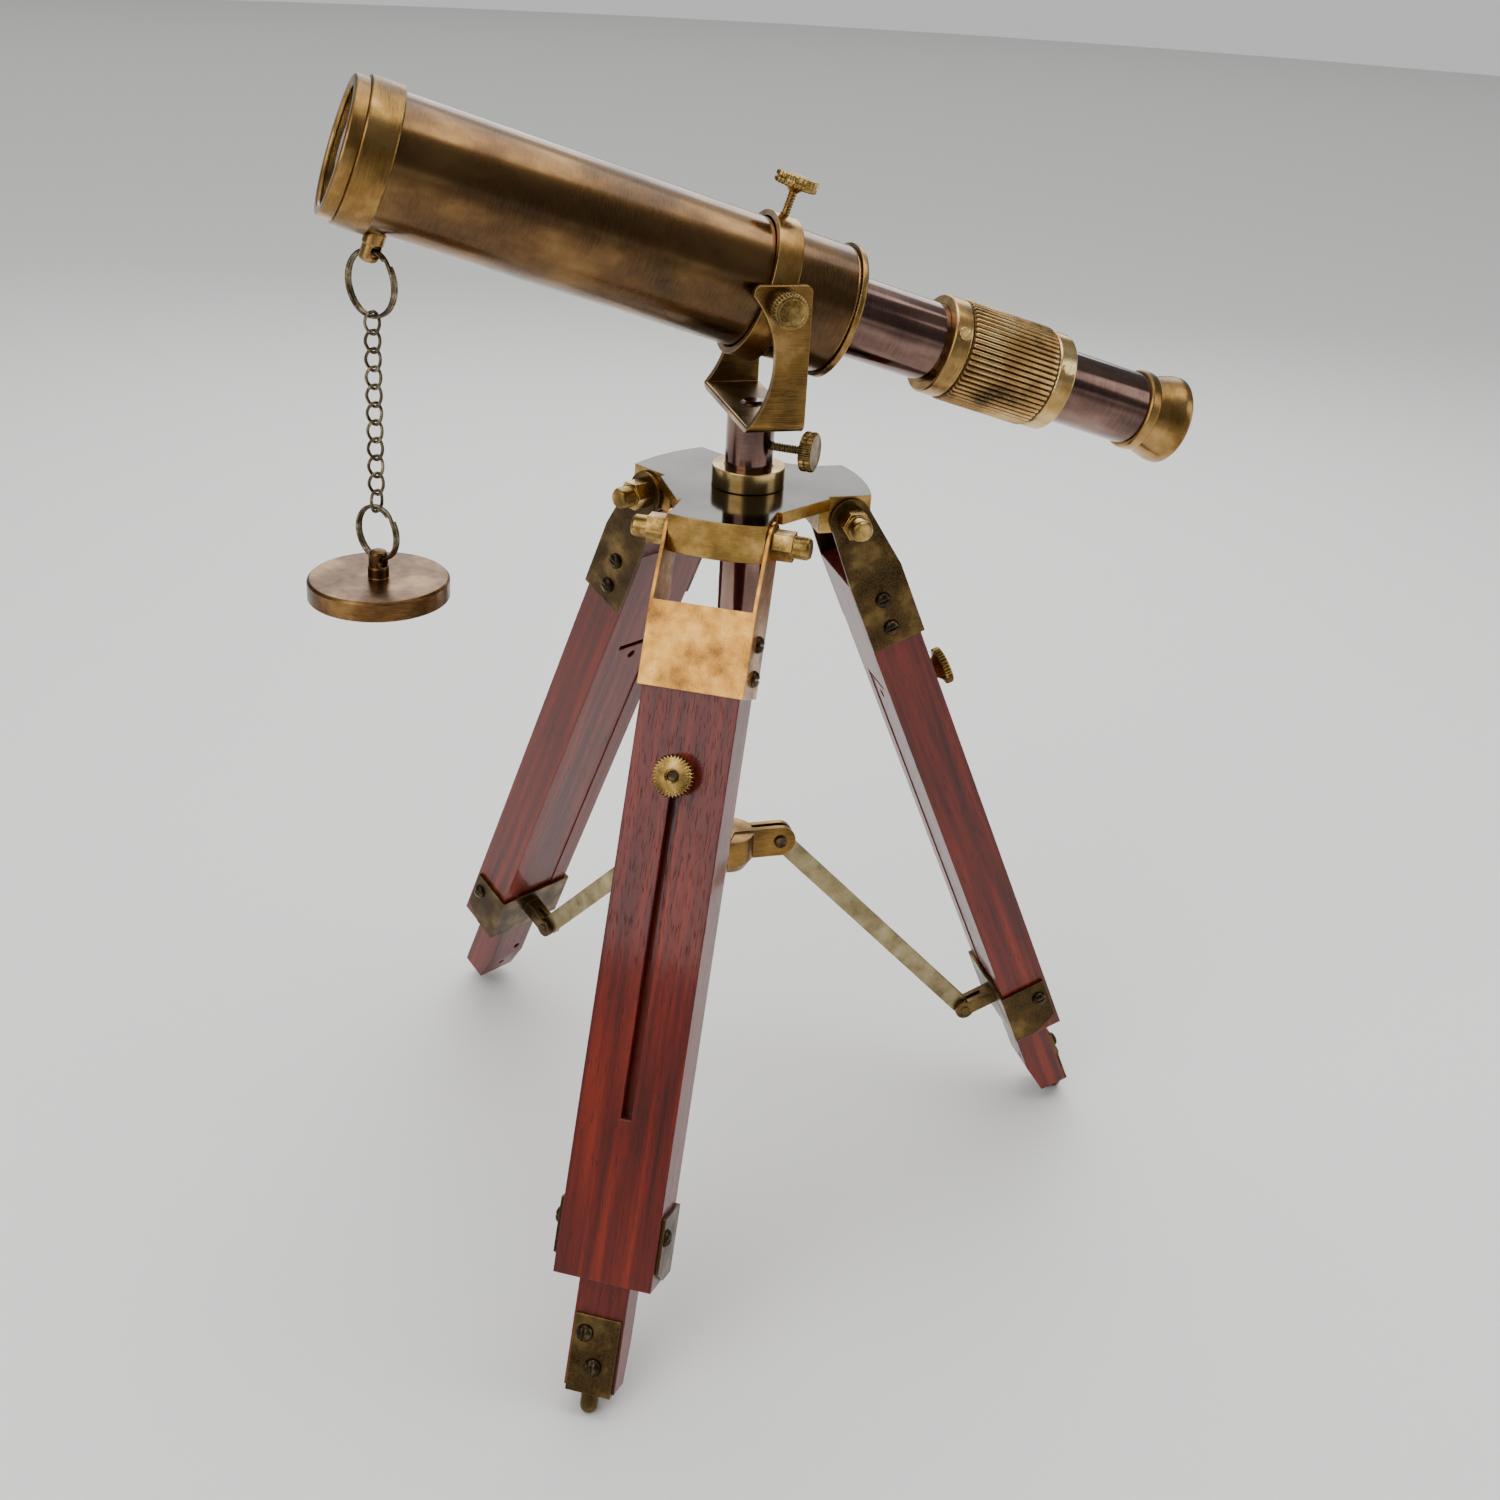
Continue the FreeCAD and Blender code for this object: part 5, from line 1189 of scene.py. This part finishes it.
@dataclass
class Studio:
    """A pale floor, large soft lights and the camera."""

    camera_at: tuple[float, float, float] = (-125.80, -429.32, 356.92)
    looking: tuple[float, float, float] = (0.26044, 0.88880, -0.37711)
    roll_degrees: float = 3.177
    lens: float = 43.5
    shift: tuple[float, float] = (0.0058, -0.1027)
    floor_radius: float = 4000.0

    def build(self) -> None:
        """Sets the studio up."""
        self.world()
        self.floor()
        self.camera()
        self.light("Window", (-650, -500, 700), (700, 900), 5.5)
        self.light("Overhead", (150, 150, 1000), (900, 700), 5.0)
        self.light("Right fill", (800, -400, 420), (400, 800), 1.8)
        self.light("Ceiling", (0, 1200, 3500), (6000, 6000), 85.0)
        self.light("Back rim", (250, 800, 600), (900, 400), 3.0)

    def world(self) -> None:
        """A soft grey room, lighter overhead than at eye level."""
        world = bpy.data.worlds.new("Studio room")
        world.use_nodes = True
        tree = world.node_tree
        tree.nodes.clear()
        coords = add(tree, "ShaderNodeTexCoord").outputs["Generated"]
        parts = add(tree, "ShaderNodeSeparateXYZ", inputs={0: coords})
        shade = add(tree, "ShaderNodeValToRGB", {"stops": [
            (0.04, grey(0.62)), (0.13, grey(0.15)), (1.0, grey(0.3))]}, {0: parts.outputs[2]})
        light = add(tree, "ShaderNodeBackground", inputs={"Color": shade.outputs[0]})
        add(tree, "ShaderNodeOutputWorld", inputs={0: light.outputs[0]})
        bpy.context.scene.world = world

    def floor(self) -> None:
        """A plain pale floor."""
        shape = turned([(self.floor_radius, -0.1), (self.floor_radius, 0.0)], 64)
        bmesh.ops.translate(shape, verts=shape.verts, vec=Vector((0, 0, -0.02)))
        mesh = to_mesh("floor", shape, Matrix.Identity(4))
        material = bpy.data.materials.new("Matt studio floor")
        material.use_nodes = True
        shader = material.node_tree.nodes["Principled BSDF"]
        shader.inputs["Base Color"].default_value = linear("#f4f3f1")
        shader.inputs["Roughness"].default_value = 0.9
        shader.inputs["Specular IOR Level"].default_value = 0.1
        mesh.materials.append(material)
        floor = bpy.data.objects.new("studio_floor", mesh)
        bpy.context.scene.collection.objects.link(floor)

    def light(self, name: str, place: tuple[float, float, float],
              size: tuple[float, float], watts: float) -> None:
        """Hangs a soft box that looks at the middle of the object.

        Args:
            name: The light's name.
            place: Where it hangs.
            size: Its width and height.
            watts: Its power.
        """
        data = bpy.data.lights.new(name, "AREA")
        data.shape = "RECTANGLE"
        data.size, data.size_y = [side * MM for side in size]
        data.energy = watts
        lamp = bpy.data.objects.new(name, data)
        spot = Vector(place) * MM
        aim = Vector((0, 0, 0.18)) - spot
        turn = aim.to_track_quat("-Z", "Y").to_matrix().to_4x4()
        lamp.matrix_world = Matrix.Translation(spot) @ turn
        bpy.context.scene.collection.objects.link(lamp)

    def camera(self) -> None:
        """Stands the camera up, a little rolled."""
        data = bpy.data.cameras.new("Camera")
        data.lens = self.lens
        data.sensor_width = 36.0
        data.shift_x, data.shift_y = self.shift
        data.clip_start = 0.01
        ahead = Vector(self.looking).normalized()
        right = ahead.cross(UP).normalized()
        above = right.cross(ahead)
        roll = math.radians(self.roll_degrees)
        image_right = right * math.cos(roll) + above * math.sin(roll)
        image_up = above * math.cos(roll) - right * math.sin(roll)
        turn = Matrix((image_right, image_up, -ahead)).transposed().to_4x4()
        camera = bpy.data.objects.new("Camera", data)
        camera.matrix_world = Matrix.Translation(Vector(self.camera_at) * MM) @ turn
        bpy.context.scene.collection.objects.link(camera)
        bpy.context.scene.camera = camera


def main() -> None:
    """Builds every sub-assembly in order, then the studio."""
    logging.basicConfig(level=logging.INFO)
    pivot = joint("tilt")[0]
    optical = axes(pivot, joint("tube_slide")[1], joint("clamp_screw_turn")[1])
    OpticalTube(optical).build()
    DrawTube(optical).build(ring_of_copies())
    CapAndChain().build(hanging_row())
    CradleAndYoke(optical).build()
    TripodHead().build()
    for name in LegName:
        Leg(name).build()
    Spreader().build()
    Studio().build()


if __name__ == "__main__":
    main()
